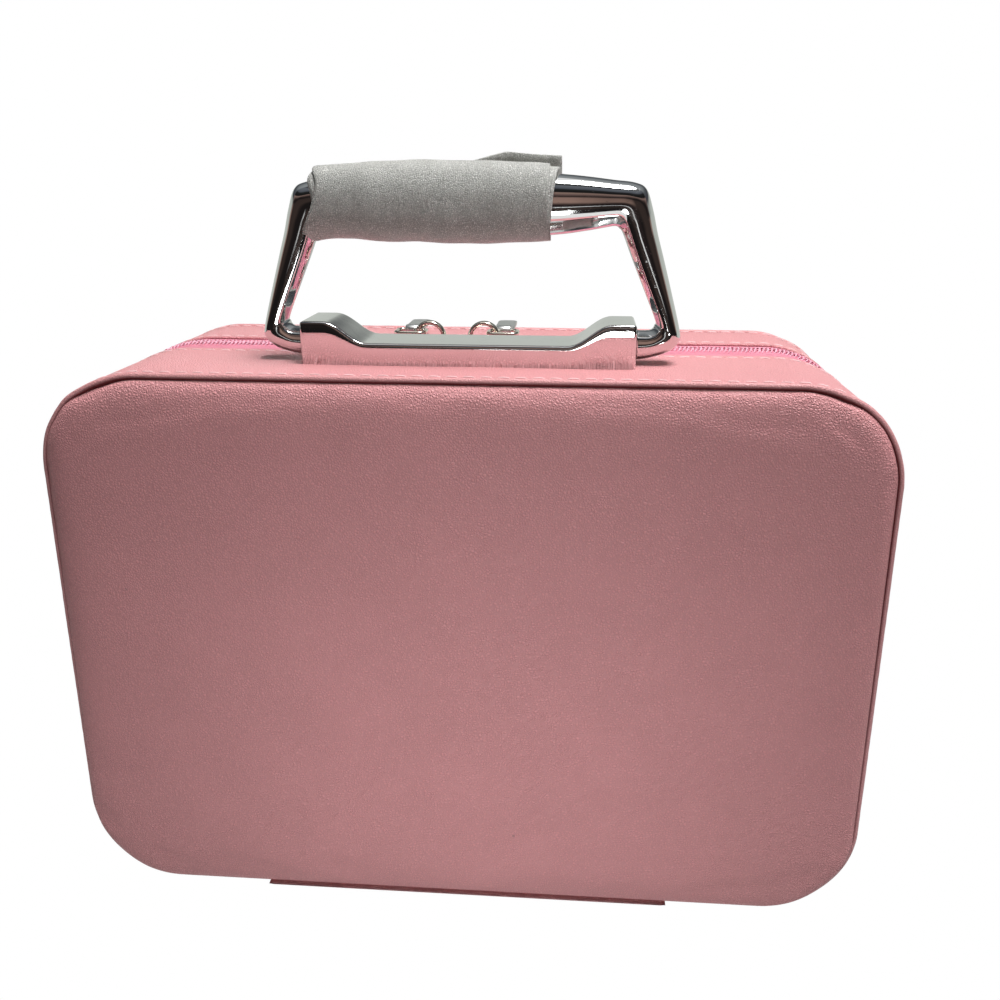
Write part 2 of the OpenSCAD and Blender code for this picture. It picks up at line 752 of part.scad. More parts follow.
body_shell();
body_skin();
front_panel();
front_piping();
body_lining();
body_zip_tape();
body_zip_teeth();
body_spine();
long_divider();
upper_divider(-1);  // upper_divider_left
upper_divider(1);  // upper_divider_right
lower_divider(-1);  // lower_divider_left
lower_divider(1);  // lower_divider_right
handle_base();
backing_plate();
handle_screws();
bail();
pivot_pin(-1);  // pivot_pin_left
pivot_pin(1);  // pivot_pin_right
grip_sleeve();
slider(-1);  // slider_left
slider(1);  // slider_right
link(-1);  // link_left
link(1);  // link_right
tab(-1);  // tab_left
tab(1);  // tab_right
lid_shell();
lid_skin();
rear_panel();
rear_piping();
lid_lining();
lid_zip_tape();
lid_zip_teeth();
lid_spine();
lid_pocket();
pocket_band();
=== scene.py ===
"""The looks of a makeup storage case with a carry handle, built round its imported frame.

The case is a stiff box in fine-grained pink imitation leather: a deep body that carries a plated
handle, a shallow lid that turns on a leather spine, and a zip with two pulls between them.
Lengths are in metres, +X is to the right, +Y runs from the front panel towards the lid, +Z is up.
"""

import enum
import json
import logging
import math
from collections.abc import Callable, Sequence
from dataclasses import dataclass

import bmesh
import bpy
import numpy as np
from mathutils import Matrix, Vector


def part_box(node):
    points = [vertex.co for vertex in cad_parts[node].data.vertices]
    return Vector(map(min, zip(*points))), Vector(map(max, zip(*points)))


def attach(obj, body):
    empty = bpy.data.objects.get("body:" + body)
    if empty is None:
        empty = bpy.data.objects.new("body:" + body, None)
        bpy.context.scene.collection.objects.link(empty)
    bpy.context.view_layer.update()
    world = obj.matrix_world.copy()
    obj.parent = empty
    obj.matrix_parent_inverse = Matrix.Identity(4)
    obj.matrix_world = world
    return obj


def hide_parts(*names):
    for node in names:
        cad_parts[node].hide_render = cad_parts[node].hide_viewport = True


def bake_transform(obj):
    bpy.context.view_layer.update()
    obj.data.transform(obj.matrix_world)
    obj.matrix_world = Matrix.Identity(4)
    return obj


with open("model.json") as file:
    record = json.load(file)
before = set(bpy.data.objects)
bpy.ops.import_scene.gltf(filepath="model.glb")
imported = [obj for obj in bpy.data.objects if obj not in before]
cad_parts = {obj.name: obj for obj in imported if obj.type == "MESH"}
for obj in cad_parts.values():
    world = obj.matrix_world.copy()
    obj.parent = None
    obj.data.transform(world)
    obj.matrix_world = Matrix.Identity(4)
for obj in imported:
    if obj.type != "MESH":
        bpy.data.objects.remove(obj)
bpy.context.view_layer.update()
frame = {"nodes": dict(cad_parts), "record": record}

log = logging.getLogger("makeup_case")

MM = 0.001
Colour = tuple[float, float, float]
Place = tuple[float, float, float]
Array = np.ndarray
Piece = bpy.types.Object


# ---------- Shader maths ----------


def operator(operation: str, swapped: bool = False) -> Callable[["Wire", "Wire | float"], "Wire"]:
    """Makes an operator of Wire for a Math node's operation, with its two terms swapped if so told."""

    def apply(this: "Wire", other: "Wire | float") -> "Wire":
        """Adds the Math node."""
        return this.math(operation, *((other, this) if swapped else (this, other)))

    return apply


class Wire:
    """A shader socket that takes part in sums: each operator adds one Math node."""

    __add__, __radd__ = operator("ADD"), operator("ADD", swapped=True)
    __sub__, __rsub__ = operator("SUBTRACT"), operator("SUBTRACT", swapped=True)
    __mul__, __rmul__ = operator("MULTIPLY"), operator("MULTIPLY", swapped=True)
    __truediv__ = operator("DIVIDE")

    def __init__(self, shader: "Shader", socket: bpy.types.NodeSocket) -> None:
        """Wraps an output socket of a shader's tree."""
        self.shader = shader
        self.socket = socket

    def math(self, operation: str, *terms: "Wire | float") -> "Wire":
        """Adds a Math node of that operation, with its inputs in order."""
        return self.shader.wire("ShaderNodeMath", {"operation": operation}, dict(enumerate(terms)))

    def wave(self) -> "Wire":
        """The sine of an angle in radians."""
        return self.math("SINE", self)

    def within(self, low: float, high: float) -> "Wire":
        """0 at one edge and beyond it, 1 at the other, and smooth between; high may lie below low."""
        inputs = {"Value": self, "From Min": low, "From Max": high}
        return self.shader.wire("ShaderNodeMapRange", {"interpolation_type": "SMOOTHSTEP"}, inputs)


class Shader:
    """The node tree of one material or world, and a method that adds any node to it."""

    def __init__(self, name: str, world: bpy.types.World | None = None) -> None:
        """Makes an empty material of that name, or empties the tree of the world that is given."""
        self.owner = world or bpy.data.materials.new("look_" + name)
        self.owner.use_nodes = True
        self.tree = self.owner.node_tree
        self.tree.nodes.clear()

    def node(self, kind: str, settings: dict | None = None, inputs: dict | None = None) -> bpy.types.Node:
        """Adds a node.

        Args:
            kind: the node's type.
            settings: its properties, set before its inputs; "stops" sets a ramp's stops.
            inputs: a value or a link for each socket, by name or number.

        Returns:
            The node.
        """
        made = self.tree.nodes.new(kind)
        for key, value in (settings or {}).items():
            if key == "stops":
                self._set_stops(made.color_ramp, value)
            else:
                setattr(made, key, value)
        for key, value in (inputs or {}).items():
            if isinstance(value, Wire):
                self.tree.links.new(value.socket, made.inputs[key])
            else:
                made.inputs[key].default_value = value
        return made

    def wire(
        self, kind: str, settings: dict | None = None, inputs: dict | None = None, output: int | str = 0
    ) -> Wire:
        """Adds a node as node() does, and wraps one of its outputs."""
        return Wire(self, self.node(kind, settings, inputs).outputs[output])

    @staticmethod
    def _set_stops(ramp: bpy.types.ColorRamp, stops: Sequence[tuple[float, Colour]]) -> None:
        """Sets a colour ramp's stops, each a place and a colour."""
        while len(ramp.elements) < len(stops):
            ramp.elements.new(1.0)
        for element, (place, colour) in zip(ramp.elements, stops):
            element.position = place
            element.color = (*colour, 1.0)

    def coordinates(self) -> Wire:
        """The place on the piece, in metres."""
        return self.wire("ShaderNodeTexCoord", output="Object")

    def run(self) -> tuple[Wire, Wire]:
        """The distance along and across a swept piece, in metres, from its own UV map."""
        split = self.node("ShaderNodeSeparateXYZ", None, {0: self.wire("ShaderNodeTexCoord", output="UV")})
        return Wire(self, split.outputs[0]), Wire(self, split.outputs[1])

    def noise(self, vector: Wire, size: float, detail: float = 2.0, roughness: float = 0.5) -> Wire:
        """Noise whose features have about the given size in metres, from 0 to 1."""
        inputs = {"Vector": vector, "Scale": 1 / size, "Detail": detail, "Roughness": roughness}
        return self.wire("ShaderNodeTexNoise", None, inputs)

    def cells(
        self, vector: Wire, size: float, feature: str = "F1", output: int | str = 0, jitter: float = 1.0
    ) -> Wire:
        """Voronoi cells of about the given size in metres."""
        inputs = {"Vector": vector, "Scale": 1 / size, "Randomness": jitter}
        return self.wire("ShaderNodeTexVoronoi", {"feature": feature}, inputs, output)

    def shifted(self, vector: Wire, offset: Wire, amount: float) -> Wire:
        """A vector moved by another one times an amount."""
        scaled = self.wire("ShaderNodeVectorMath", {"operation": "SCALE"}, {0: offset, "Scale": amount})
        return self.wire("ShaderNodeVectorMath", {"operation": "ADD"}, {0: vector, 1: scaled})

    def stretched(self, vector: Wire, scale: tuple[float, float, float]) -> Wire:
        """A vector with each axis scaled."""
        return self.wire("ShaderNodeMapping", None, {"Vector": vector, "Scale": scale})

    def mix(self, factor: Wire | float, low: "Wire | Colour", high: "Wire | Colour") -> Wire:
        """Two colours mixed, low where the factor is 0."""
        ends = {6: self._rgba(low), 7: self._rgba(high)}
        return self.wire("ShaderNodeMix", {"data_type": "RGBA"}, {0: factor, **ends}, 2)

    @staticmethod
    def _rgba(colour: "Wire | Colour") -> "Wire | tuple":
        """A colour with its alpha, or a link as it is."""
        return colour if isinstance(colour, Wire) else (*colour, 1.0)

    def surface(
        self, colour: Wire, roughness: Wire, height: Wire, depth: float, more: dict | None = None
    ) -> bpy.types.Material:
        """Ends the tree in a Principled shader.

        Args:
            colour: its base colour.
            roughness: its roughness.
            height: its relief, whose height of 1 stands for the depth.
            depth: the relief's depth in metres.
            more: the values and links of its other sockets.

        Returns:
            The material.
        """
        relief = self.wire("ShaderNodeBump", None, {"Height": height, "Distance": depth, "Strength": 1.0})
        inputs = {"Base Color": colour, "Roughness": roughness, "Normal": relief, **(more or {})}
        shader = self.wire("ShaderNodeBsdfPrincipled", None, inputs)
        self.node("ShaderNodeOutputMaterial", None, {"Surface": shader})
        return self.owner


# ---------- Finishes ----------


def toned(colour: Colour, factor: float, lift: float = 0.0) -> Colour:
    """A colour made darker or lighter by a factor and a lift, and held at white."""
    return tuple(min(1.0, factor * c + lift) for c in colour)


@dataclass(frozen=True)
class Leather:
    """Imitation leather: rounded pebbles with fine creases between them, with painted shade in its seams."""

    name: str
    colour: Colour
    pebble: float = 0.76 * MM
    depth: float = 0.22 * MM
    roughness: float = 0.44

    def material(self) -> bpy.types.Material:
        """Builds the material, whose "seam" attribute sets the painted shade: 1 in a seam and 0 on the open
        face.
        """
        s = Shader(self.name)
        place = s.coordinates()
        drift = s.wire("ShaderNodeTexNoise", None, {"Vector": place, "Scale": 1 / (2.2 * MM)}, "Color")
        warped = s.shifted(place, drift, 0.5 * MM)
        pebbles = s.cells(warped, self.pebble, "DISTANCE_TO_EDGE").within(0.0, 0.36)
        pores = s.noise(place, 0.3 * MM, 2.0, 0.6)
        hide = s.noise(place, 26 * MM, 3.0)
        speck = s.cells(place, 19 * MM).within(0.028, 0.02) * s.noise(place, 45 * MM).within(0.47, 0.53)
        seam = s.wire("ShaderNodeAttribute", {"attribute_name": "seam"}, output="Fac")
        base = s.mix(pebbles * 0.65 + pores * 0.35, toned(self.colour, 0.78), self.colour)
        base = s.mix(hide.within(0.3, 0.7) * 0.16, base, toned(self.colour, 1.1))
        base = s.mix(speck * 0.3, base, (0.16, 0.09, 0.08))
        # Painted shade: leather in a seam is darkened towards a crease colour that follows the colour's
        # square, as if lit by leather alone.
        crease = tuple(k * c * c for k, c in zip((0.19, 0.08, 0.09), self.colour))
        base = s.mix(seam, base, crease)
        rough = self.roughness + 0.1 * hide - 0.08 * pebbles + 0.2 * seam
        height = pebbles * 0.75 + pores * 0.3
        return s.surface(base, rough, height, self.depth, {"Specular IOR Level": 0.42})


@dataclass(frozen=True)
class Plating:
    """Mirror plating with a breath of haze, faint handling marks and a few hairlines."""

    name: str
    colour: Colour = (0.73, 0.735, 0.73)
    roughness: float = 0.045
    haze: float = 0.05
    wave: float = 0.012 * MM

    def material(self) -> bpy.types.Material:
        """Builds the material."""
        s = Shader(self.name)
        place = s.coordinates()
        smudge = s.noise(place, 7 * MM, 4.0, 0.6).within(0.45, 0.75)
        hairs = s.noise(s.stretched(place, (0.25, 1.0, 0.6)), 0.35 * MM, 1.0).within(0.68, 0.74)
        swell = s.noise(place, 5 * MM, 1.0)
        tint = s.mix(smudge * 0.3, self.colour, toned(self.colour, 0.9))
        rough = self.roughness + self.haze * smudge + 0.12 * hairs
        return s.surface(tint, rough, swell, self.wave, {"Metallic": 1.0})


@dataclass(frozen=True)
class SatinMetal:
    """Tumbled or zinc-plated metal with a soft, fine-grained sheen."""

    name: str
    colour: Colour
    roughness: float = 0.34
    grain: float = 0.16 * MM
    blotch: float = 0.12
    depth: float = 0.008 * MM

    def material(self) -> bpy.types.Material:
        """Builds the material."""
        s = Shader(self.name)
        place = s.coordinates()
        grain = s.noise(place, self.grain, 3.0, 0.65)
        bloom = s.noise(place, 3 * MM, 3.0)
        tint = s.mix(bloom, toned(self.colour, 1 - self.blotch), self.colour)
        rough = self.roughness + 0.16 * (grain - 0.5) + 0.1 * (bloom - 0.5)
        return s.surface(tint, rough, grain, self.depth, {"Metallic": 1.0})


@dataclass(frozen=True)
class Weave:
    """A woven tape: warp cords along the piece crossed by a fine weft."""

    name: str
    colour: Colour
    cord: float = 0.62 * MM
    pick: float = 0.45 * MM
    depth: float = 0.12 * MM
    fuzz: float = 0.25

    def material(self) -> bpy.types.Material:
        """Builds the material on the piece's own run."""
        s = Shader(self.name)
        along, across = s.run()
        row = across / self.cord
        bow = (row * math.tau).wave() * 0.5 + 0.5
        step = row.math("FLOOR", row) * (0.5 * self.pick)
        weft = ((along + step) * (math.tau / self.pick)).wave() * 0.5 + 0.5
        thread = bow * 0.55 + bow * weft * 0.45
        lint = s.noise(s.coordinates(), 0.3 * MM, 3.0, 0.7)
        worn = s.noise(s.coordinates(), 9 * MM, 2.0)
        base = s.mix(thread * 0.8 + lint * 0.2, toned(self.colour, 0.7), self.colour)
        base = s.mix(worn.within(0.35, 0.75) * 0.2, base, toned(self.colour, 1.25, 0.03))
        sheen = {"Sheen Weight": self.fuzz, "Sheen Roughness": 0.45}
        return s.surface(base, 0.62 + 0.2 * lint, thread + lint * 0.3, self.depth, sheen)


@dataclass(frozen=True)
class BrushedCloth:
    """Short-napped lining cloth that is stroked lighter and darker in soft patches."""

    name: str
    colour: Colour
    fibre: float = 0.28 * MM
    depth: float = 0.09 * MM
    sheen: float = 0.35

    def material(self) -> bpy.types.Material:
        """Builds the material."""
        s = Shader(self.name)
        place = s.coordinates()
        fibres = s.noise(s.stretched(place, (1.0, 1.0, 0.45)), self.fibre, 4.0, 0.7)
        tufts = s.cells(place, 0.7 * MM)
        stroke = s.noise(s.stretched(place, (0.5, 1.0, 1.0)), 17 * MM, 3.0, 0.6).within(0.35, 0.68)
        base = s.mix(fibres, toned(self.colour, 0.66), self.colour)
        base = s.mix(stroke * 0.3, base, toned(self.colour, 1.18))
        sheen = {"Sheen Weight": self.sheen, "Sheen Roughness": 0.5}
        return s.surface(base, 0.8 + 0.15 * fibres, fibres * 0.8 + tufts * 0.3, self.depth, sheen)


@dataclass(frozen=True)
class Moulding:
    """Drawn nylon, such as a zip's coil or a sewing thread, with faint draw lines."""

    name: str
    colour: Colour
    roughness: float = 0.32
    twist: float = 0.5 * MM
    depth: float = 0.03 * MM

    def material(self) -> bpy.types.Material:
        """Builds the material."""
        s = Shader(self.name)
        place = s.coordinates()
        drawn = s.noise(s.stretched(place, (1.0, 0.3, 1.0)), self.twist, 3.0)
        tone = s.noise(place, 6 * MM, 2.0).within(0.3, 0.7)
        base = s.mix(drawn * 0.5 + tone * 0.5, toned(self.colour, 0.8), self.colour)
        return s.surface(base, self.roughness + 0.15 * drawn, drawn, self.depth, {"Sheen Weight": 0.15})


@dataclass(frozen=True)
class FoamSheet:
    """Thin packing foam: pressed cells, some painted with a near-white glint, over a grey milky body."""

    name: str
    colour: Colour = (0.8, 0.8, 0.75)
    painted_glint: Colour = (1.0, 0.99, 0.95)
    cell: float = 0.5 * MM
    depth: float = 0.16 * MM

    def material(self) -> bpy.types.Material:
        """Builds the material."""
        s = Shader(self.name)
        place = s.coordinates()
        walls = s.cells(place, self.cell, "DISTANCE_TO_EDGE").within(0.02, 0.2)
        lot = s.cells(place, self.cell, "F1", "Color")
        painted_glint_cells = s.wire("ShaderNodeSeparateColor", None, {0: lot}).within(0.4, 1.0)
        cloud = s.noise(s.stretched(place, (1.0, 1.0, 0.4)), 4.5 * MM, 3.0, 0.6)
        glint_spread = s.noise(place, 0.3 * MM, 2.0, 0.7)
        base = s.mix(cloud, toned(self.colour, 0.6), toned(self.colour, 1.15))
        # Painted glint: scattered cells are brightened towards a near-white glint colour.
        base = s.mix(painted_glint_cells * glint_spread.within(0.35, 0.6) * 0.85, base, self.painted_glint)
        base = s.mix((1.0 - walls) * 0.7, base, toned(self.colour, 0.42))
        gloss = {"Specular IOR Level": 0.6, "Sheen Weight": 0.2}
        return s.surface(base, 0.72 - 0.42 * painted_glint_cells, walls + cloud * 0.6, self.depth, gloss)


@dataclass(frozen=True)
class Board:
    """Grey pressed board with flecks of fibre."""

    name: str
    colour: Colour = (0.5, 0.47, 0.43)
    depth: float = 0.06 * MM

    def material(self) -> bpy.types.Material:
        """Builds the material."""
        s = Shader(self.name)
        place = s.coordinates()
        fibres = s.noise(s.stretched(place, (1.0, 0.4, 1.0)), 0.5 * MM, 4.0, 0.7)
        flecks = s.cells(place, 2.6 * MM).within(0.12, 0.06)
        base = s.mix(fibres, toned(self.colour, 0.7), self.colour)
        base = s.mix(flecks * 0.5, base, (0.24, 0.22, 0.2))
        return s.surface(base, 0.82 + 0.12 * fibres, fibres, self.depth)


@dataclass(frozen=True)
class Net:
    """A knitted net: six-sided holes between soft yarns, cut out by alpha."""

    name: str
    colour: Colour
    hole: float = 2.4 * MM
    depth: float = 0.15 * MM

    def material(self) -> bpy.types.Material:
        """Builds the material on the piece's own run."""
        s = Shader(self.name)
        along, across = s.run()
        flat = s.wire("ShaderNodeCombineXYZ", None, {0: along, 1: across * 0.62})
        offset = s.cells(flat, self.hole, "DISTANCE_TO_EDGE", jitter=0.18)
        yarn = offset.within(0.17, 0.12)
        lint = s.noise(s.coordinates(), 0.25 * MM, 3.0, 0.7)
        base = s.mix(lint, toned(self.colour, 0.62), self.colour)
        height = yarn * (0.6 + 0.4 * lint)
        return s.surface(base, 0.75 + 0.15 * lint, height, self.depth, {"Alpha": yarn, "Sheen Weight": 0.3})


PINK = (0.88, 0.392, 0.407)
HOT_PINK = (0.96, 0.3, 0.41)


class Finish(enum.Enum):
    """The case's finishes, each with the record's material slot that it belongs to."""

    LEATHER = ("leather", Leather("leather", PINK))
    PIPING = ("piping_leather", Leather("piping_leather", (0.84, 0.39, 0.4), 0.7 * MM, 0.1 * MM, 0.42))
    BOARD = ("board", Board("board"))
    LINING = ("lining_cloth", BrushedCloth("lining_cloth", (0.86, 0.52, 0.54)))
    TAPE = ("zip_tape", Weave("zip_tape", HOT_PINK))
    COIL = ("zip_coil", Moulding("zip_coil", (0.97, 0.52, 0.65), 0.34))
    ZIP_THREAD = ("zip_tape", Moulding("zip_thread", (0.93, 0.36, 0.48), 0.6))
    THREAD = ("leather", Moulding("seam_thread", (0.98, 0.64, 0.65), 0.55))
    PAD = ("divider_cloth", BrushedCloth("divider_cloth", (0.84, 0.49, 0.51), 0.3 * MM))
    CHROME = ("handle_chrome", Plating("handle_chrome"))
    STEEL = ("steel", SatinMetal("steel", (0.66, 0.67, 0.68), 0.3))
    SLIDER = ("slider_nickel", Plating("slider_nickel", (0.74, 0.69, 0.6), 0.12, 0.1, 0.02 * MM))
    TAB = ("tab_nickel", SatinMetal("tab_nickel", (0.74, 0.75, 0.73), 0.36))
    FOAM = ("foam_sleeve", FoamSheet("foam_sleeve"))
    NET = ("pocket_net", Net("pocket_net", (0.82, 0.42, 0.46)))
    ELASTIC = ("elastic", Weave("elastic", (0.8, 0.33, 0.38), 1.1 * MM, 0.8 * MM, 0.25 * MM))

    @property
    def slot(self) -> str:
        """The record's material slot."""
        return self.value[0]

    @property
    def material(self) -> bpy.types.Material:
        """The finish's material, built when it is first asked for."""
        recipe = self.value[1]
        return bpy.data.materials.get("look_" + recipe.name) or recipe.material()


# ---------- Meshes ----------


def new_object(name: str, data: bpy.types.ID) -> Piece:
    """Puts a mesh, a camera or a light into the scene as an object at the origin."""
    made = bpy.data.objects.new(name, data)
    bpy.context.scene.collection.objects.link(made)
    return made


def face_outwards(mesh: bpy.types.Mesh) -> None:
    """Turns a mesh's faces outwards and shades it smooth."""
    work = bmesh.new()
    work.from_mesh(mesh)
    bmesh.ops.recalc_face_normals(work, faces=work.faces)
    work.to_mesh(mesh)
    work.free()
    mesh.shade_smooth()


def add_seam_shade(mesh: bpy.types.Mesh, tone: Array) -> None:
    """Writes how much painted shade each vertex takes in a seam, from 0 to 1, for the leather's shader."""
    mesh.attributes.new("seam", "FLOAT", "POINT").data.foreach_set("value", tone.astype(np.float32).ravel())


def places_of(mesh: bpy.types.Mesh) -> Array:
    """A mesh's vertices, one row each."""
    return np.array([vertex.co for vertex in mesh.vertices])


def put_vertices(mesh: bpy.types.Mesh, places: Array) -> None:
    """Puts a mesh's vertices in new places."""
    mesh.vertices.foreach_set("co", places.astype(np.float32).ravel())


def mesh_of(name: str, points: Array, faces: list) -> bpy.types.Mesh:
    """Makes a smooth mesh whose faces point outwards.

    Args:
        name: the mesh's name.
        points: its vertices, one row each.
        faces: its faces, as lists of vertex numbers.

    Returns:
        The mesh.
    """
    mesh = bpy.data.meshes.new(name)
    mesh.from_pydata(np.asarray(points, float).reshape(-1, 3).tolist(), [], faces)
    face_outwards(mesh)
    return mesh


def lengths(points: Array, closed: bool) -> Array:
    """Distances along a line of points, from 0, with the way back to the first if it is closed."""
    line = np.vstack([points, points[:1]]) if closed else points
    steps = np.linalg.norm(np.diff(line, axis=0), axis=1)
    return np.concatenate([[0.0], np.cumsum(steps)])


class Cap(enum.Enum):
    """How the first and last row of a lattice are closed."""

    OPEN = enum.auto()
    FACE = enum.auto()
    STRIPS = enum.auto()


@dataclass
class Lattice:
    """A surface of rows and columns of points, such as a section swept along a path."""

    name: str
    points: Array
    wrap_rows: bool = False
    wrap_columns: bool = False
    cap: Cap = Cap.OPEN
    # How much painted seam shade each point takes, written as the "seam" attribute.
    seam: Array | None = None
    ends_closed: bool = False

    def build(self) -> Piece:
        """Makes the object, with its run in metres as the UV map and its painted seam shade as an attribute.
        """
        rows, columns = self.points.shape[:2]
        index = np.arange(rows * columns).reshape(rows, columns)
        if self.wrap_rows:
            index = np.vstack([index, index[:1]])
        if self.wrap_columns:
            index = np.hstack([index, index[:, :1]])
        quads = np.stack([index[:-1, :-1], index[1:, :-1], index[1:, 1:], index[:-1, 1:]], -1).reshape(-1, 4)
        faces = quads.tolist()
        if self.cap is Cap.FACE:
            faces += [index[0, :columns].tolist(), index[rows - 1, :columns].tolist()]
        if self.cap is Cap.STRIPS:
            # Each point lies opposite one on the outline's other side, which suits a hollow outline.
            for row in (index[0], index[rows - 1]):
                pairs = [(i, columns - 2 - i) for i in range(columns // 2 - 1)]
                faces += [[row[i], row[i + 1], row[j], row[j + 1]] for i, j in pairs]
        if self.ends_closed:
            faces += [index[:rows, 0].tolist(), index[:rows, columns - 1].tolist()]
        mesh = bpy.data.meshes.new(self.name)
        mesh.from_pydata(self.points.reshape(-1, 3).tolist(), [], faces)
        self._add_run(mesh, len(index) - 1, index.shape[1] - 1)
        if self.seam is not None:
            add_seam_shade(mesh, self.seam)
        face_outwards(mesh)
        return new_object(self.name, mesh)

    def _add_run(self, mesh: bpy.types.Mesh, tall: int, wide: int) -> None:
        """Writes the distance along the rows and across the columns as the UV map.

        Args:
            mesh: the mesh, whose first faces are the lattice's.
            tall: how many faces there are along the rows.
            wide: how many faces there are along the columns.
        """
        along = lengths(self.points[:, 0], self.wrap_rows)
        across = lengths(self.points[0], self.wrap_columns)
        i, j = np.meshgrid(np.arange(tall), np.arange(wide), indexing="ij")
        u = np.stack([along[i], along[i + 1], along[i + 1], along[i]], -1)
        v = np.stack([across[j], across[j], across[j + 1], across[j + 1]], -1)
        uv = np.zeros((len(mesh.loops), 2), np.float32)
        uv[: u.size] = np.stack([u.ravel(), v.ravel()], -1)
        mesh.uv_layers.new(name="run").data.foreach_set("uv", uv.ravel())


def dressed(piece: Piece, finish: Finish, body: str, *nodes: str) -> Piece:
    """Gives a finished piece its material, its body and the nodes that it stands for.

    Args:
        piece: the piece, in place.
        finish: its finish.
        body: the body that it moves with.
        *nodes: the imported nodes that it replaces.

    Returns:
        The piece.
    """
    piece.data.materials.clear()
    piece.data.materials.append(finish.material)
    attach(piece, body)
    if nodes:
        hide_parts(*nodes)
    log.info("%s: %d faces on %s", piece.name, len(piece.data.polygons), body)
    return piece


def joined(name: str, *parts: Piece) -> Piece:
    """Joins objects into the first one, under a new name."""
    with bpy.context.temp_override(
        active_object=parts[0], selected_objects=list(parts), selected_editable_objects=list(parts)
    ):
        bpy.ops.object.join()
    parts[0].name = name
    parts[0].data.name = name
    return parts[0]


def applied(piece: Piece) -> Piece:
    """Turns a piece's modifiers into plain mesh."""
    bpy.context.view_layer.update()
    evaluated = piece.evaluated_get(bpy.context.evaluated_depsgraph_get())
    mesh = bpy.data.meshes.new_from_object(evaluated)
    piece.modifiers.clear()
    piece.data = mesh
    return piece


def ripple(place: Array, wavelength: float, seed: int) -> Array:
    """Smooth uneven waves between about -1 and 1, worked out from places.

    Args:
        place: points, one row each.
        wavelength: the waves' usual length in metres.
        seed: picks the waves.

    Returns:
        One height for each point.
    """
    draw = np.random.default_rng(seed)
    waves = 9
    directions = draw.normal(size=(waves, place.shape[-1]))
    directions /= np.linalg.norm(directions, axis=1)[:, None]
    pitch = wavelength * draw.uniform(0.7, 1.6, waves)
    phase = draw.uniform(0, math.tau, waves)
    angle = place @ directions.T * (math.tau / pitch) + phase
    return np.sin(angle).sum(-1) / math.sqrt(waves) / 1.4


# ---------- The case's form ----------


@dataclass(frozen=True)
class CaseForm:
    """The case's outline and planes, read from the frame where it holds them."""

    half_width: float
    bottom: float
    top: float
    corner: float = 29 * MM
    bead: float = 1.0 * MM
    skin_inset: float = 0.4 * MM
    skin: float = 1.0 * MM
    board: float = 2.4 * MM
    lining: float = 0.8 * MM

    @classmethod
    def from_frame(cls) -> "CaseForm":
        """Reads the outline from the piping's box."""
        low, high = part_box("front_piping")
        return cls(high.x, low.z, high.z)

    @property
    def inner_inset(self) -> float:
        """How far the lining's open face lies inside the piping's outer edge."""
        return self.skin_inset + self.skin + self.board + self.lining

    @property
    def middle(self) -> float:
        """The height of the outline's middle."""
        return (self.top + self.bottom) / 2

    @property
    def straight(self) -> Array:
        """Half the width and half the height between the middles of the outline's corners."""
        return np.array([self.half_width - self.corner, self.middle - self.bottom - self.corner])

    @property
    def leather_top(self) -> float:
        """The height of the leather on top of the case."""
        return self.top - self.skin_inset


@dataclass(frozen=True)
class Half:
    """One half of the case, measured from its piping towards the zip."""

    body: str
    name: str
    crown_y: float
    seam_y: float
    edge_y: float

    @property
    def way(self) -> int:
        """1 where the zip lies towards +Y of the piping, and -1 where it lies towards -Y."""
        return 1 if self.edge_y > self.seam_y else -1

    @property
    def reach(self) -> float:
        """The width of the leather gusset."""
        return abs(self.edge_y - self.seam_y)

    def y(self, offset: Array | float) -> Array | float:
        """The Y of a place at a distance from the piping's seam."""
        return self.seam_y + self.way * offset


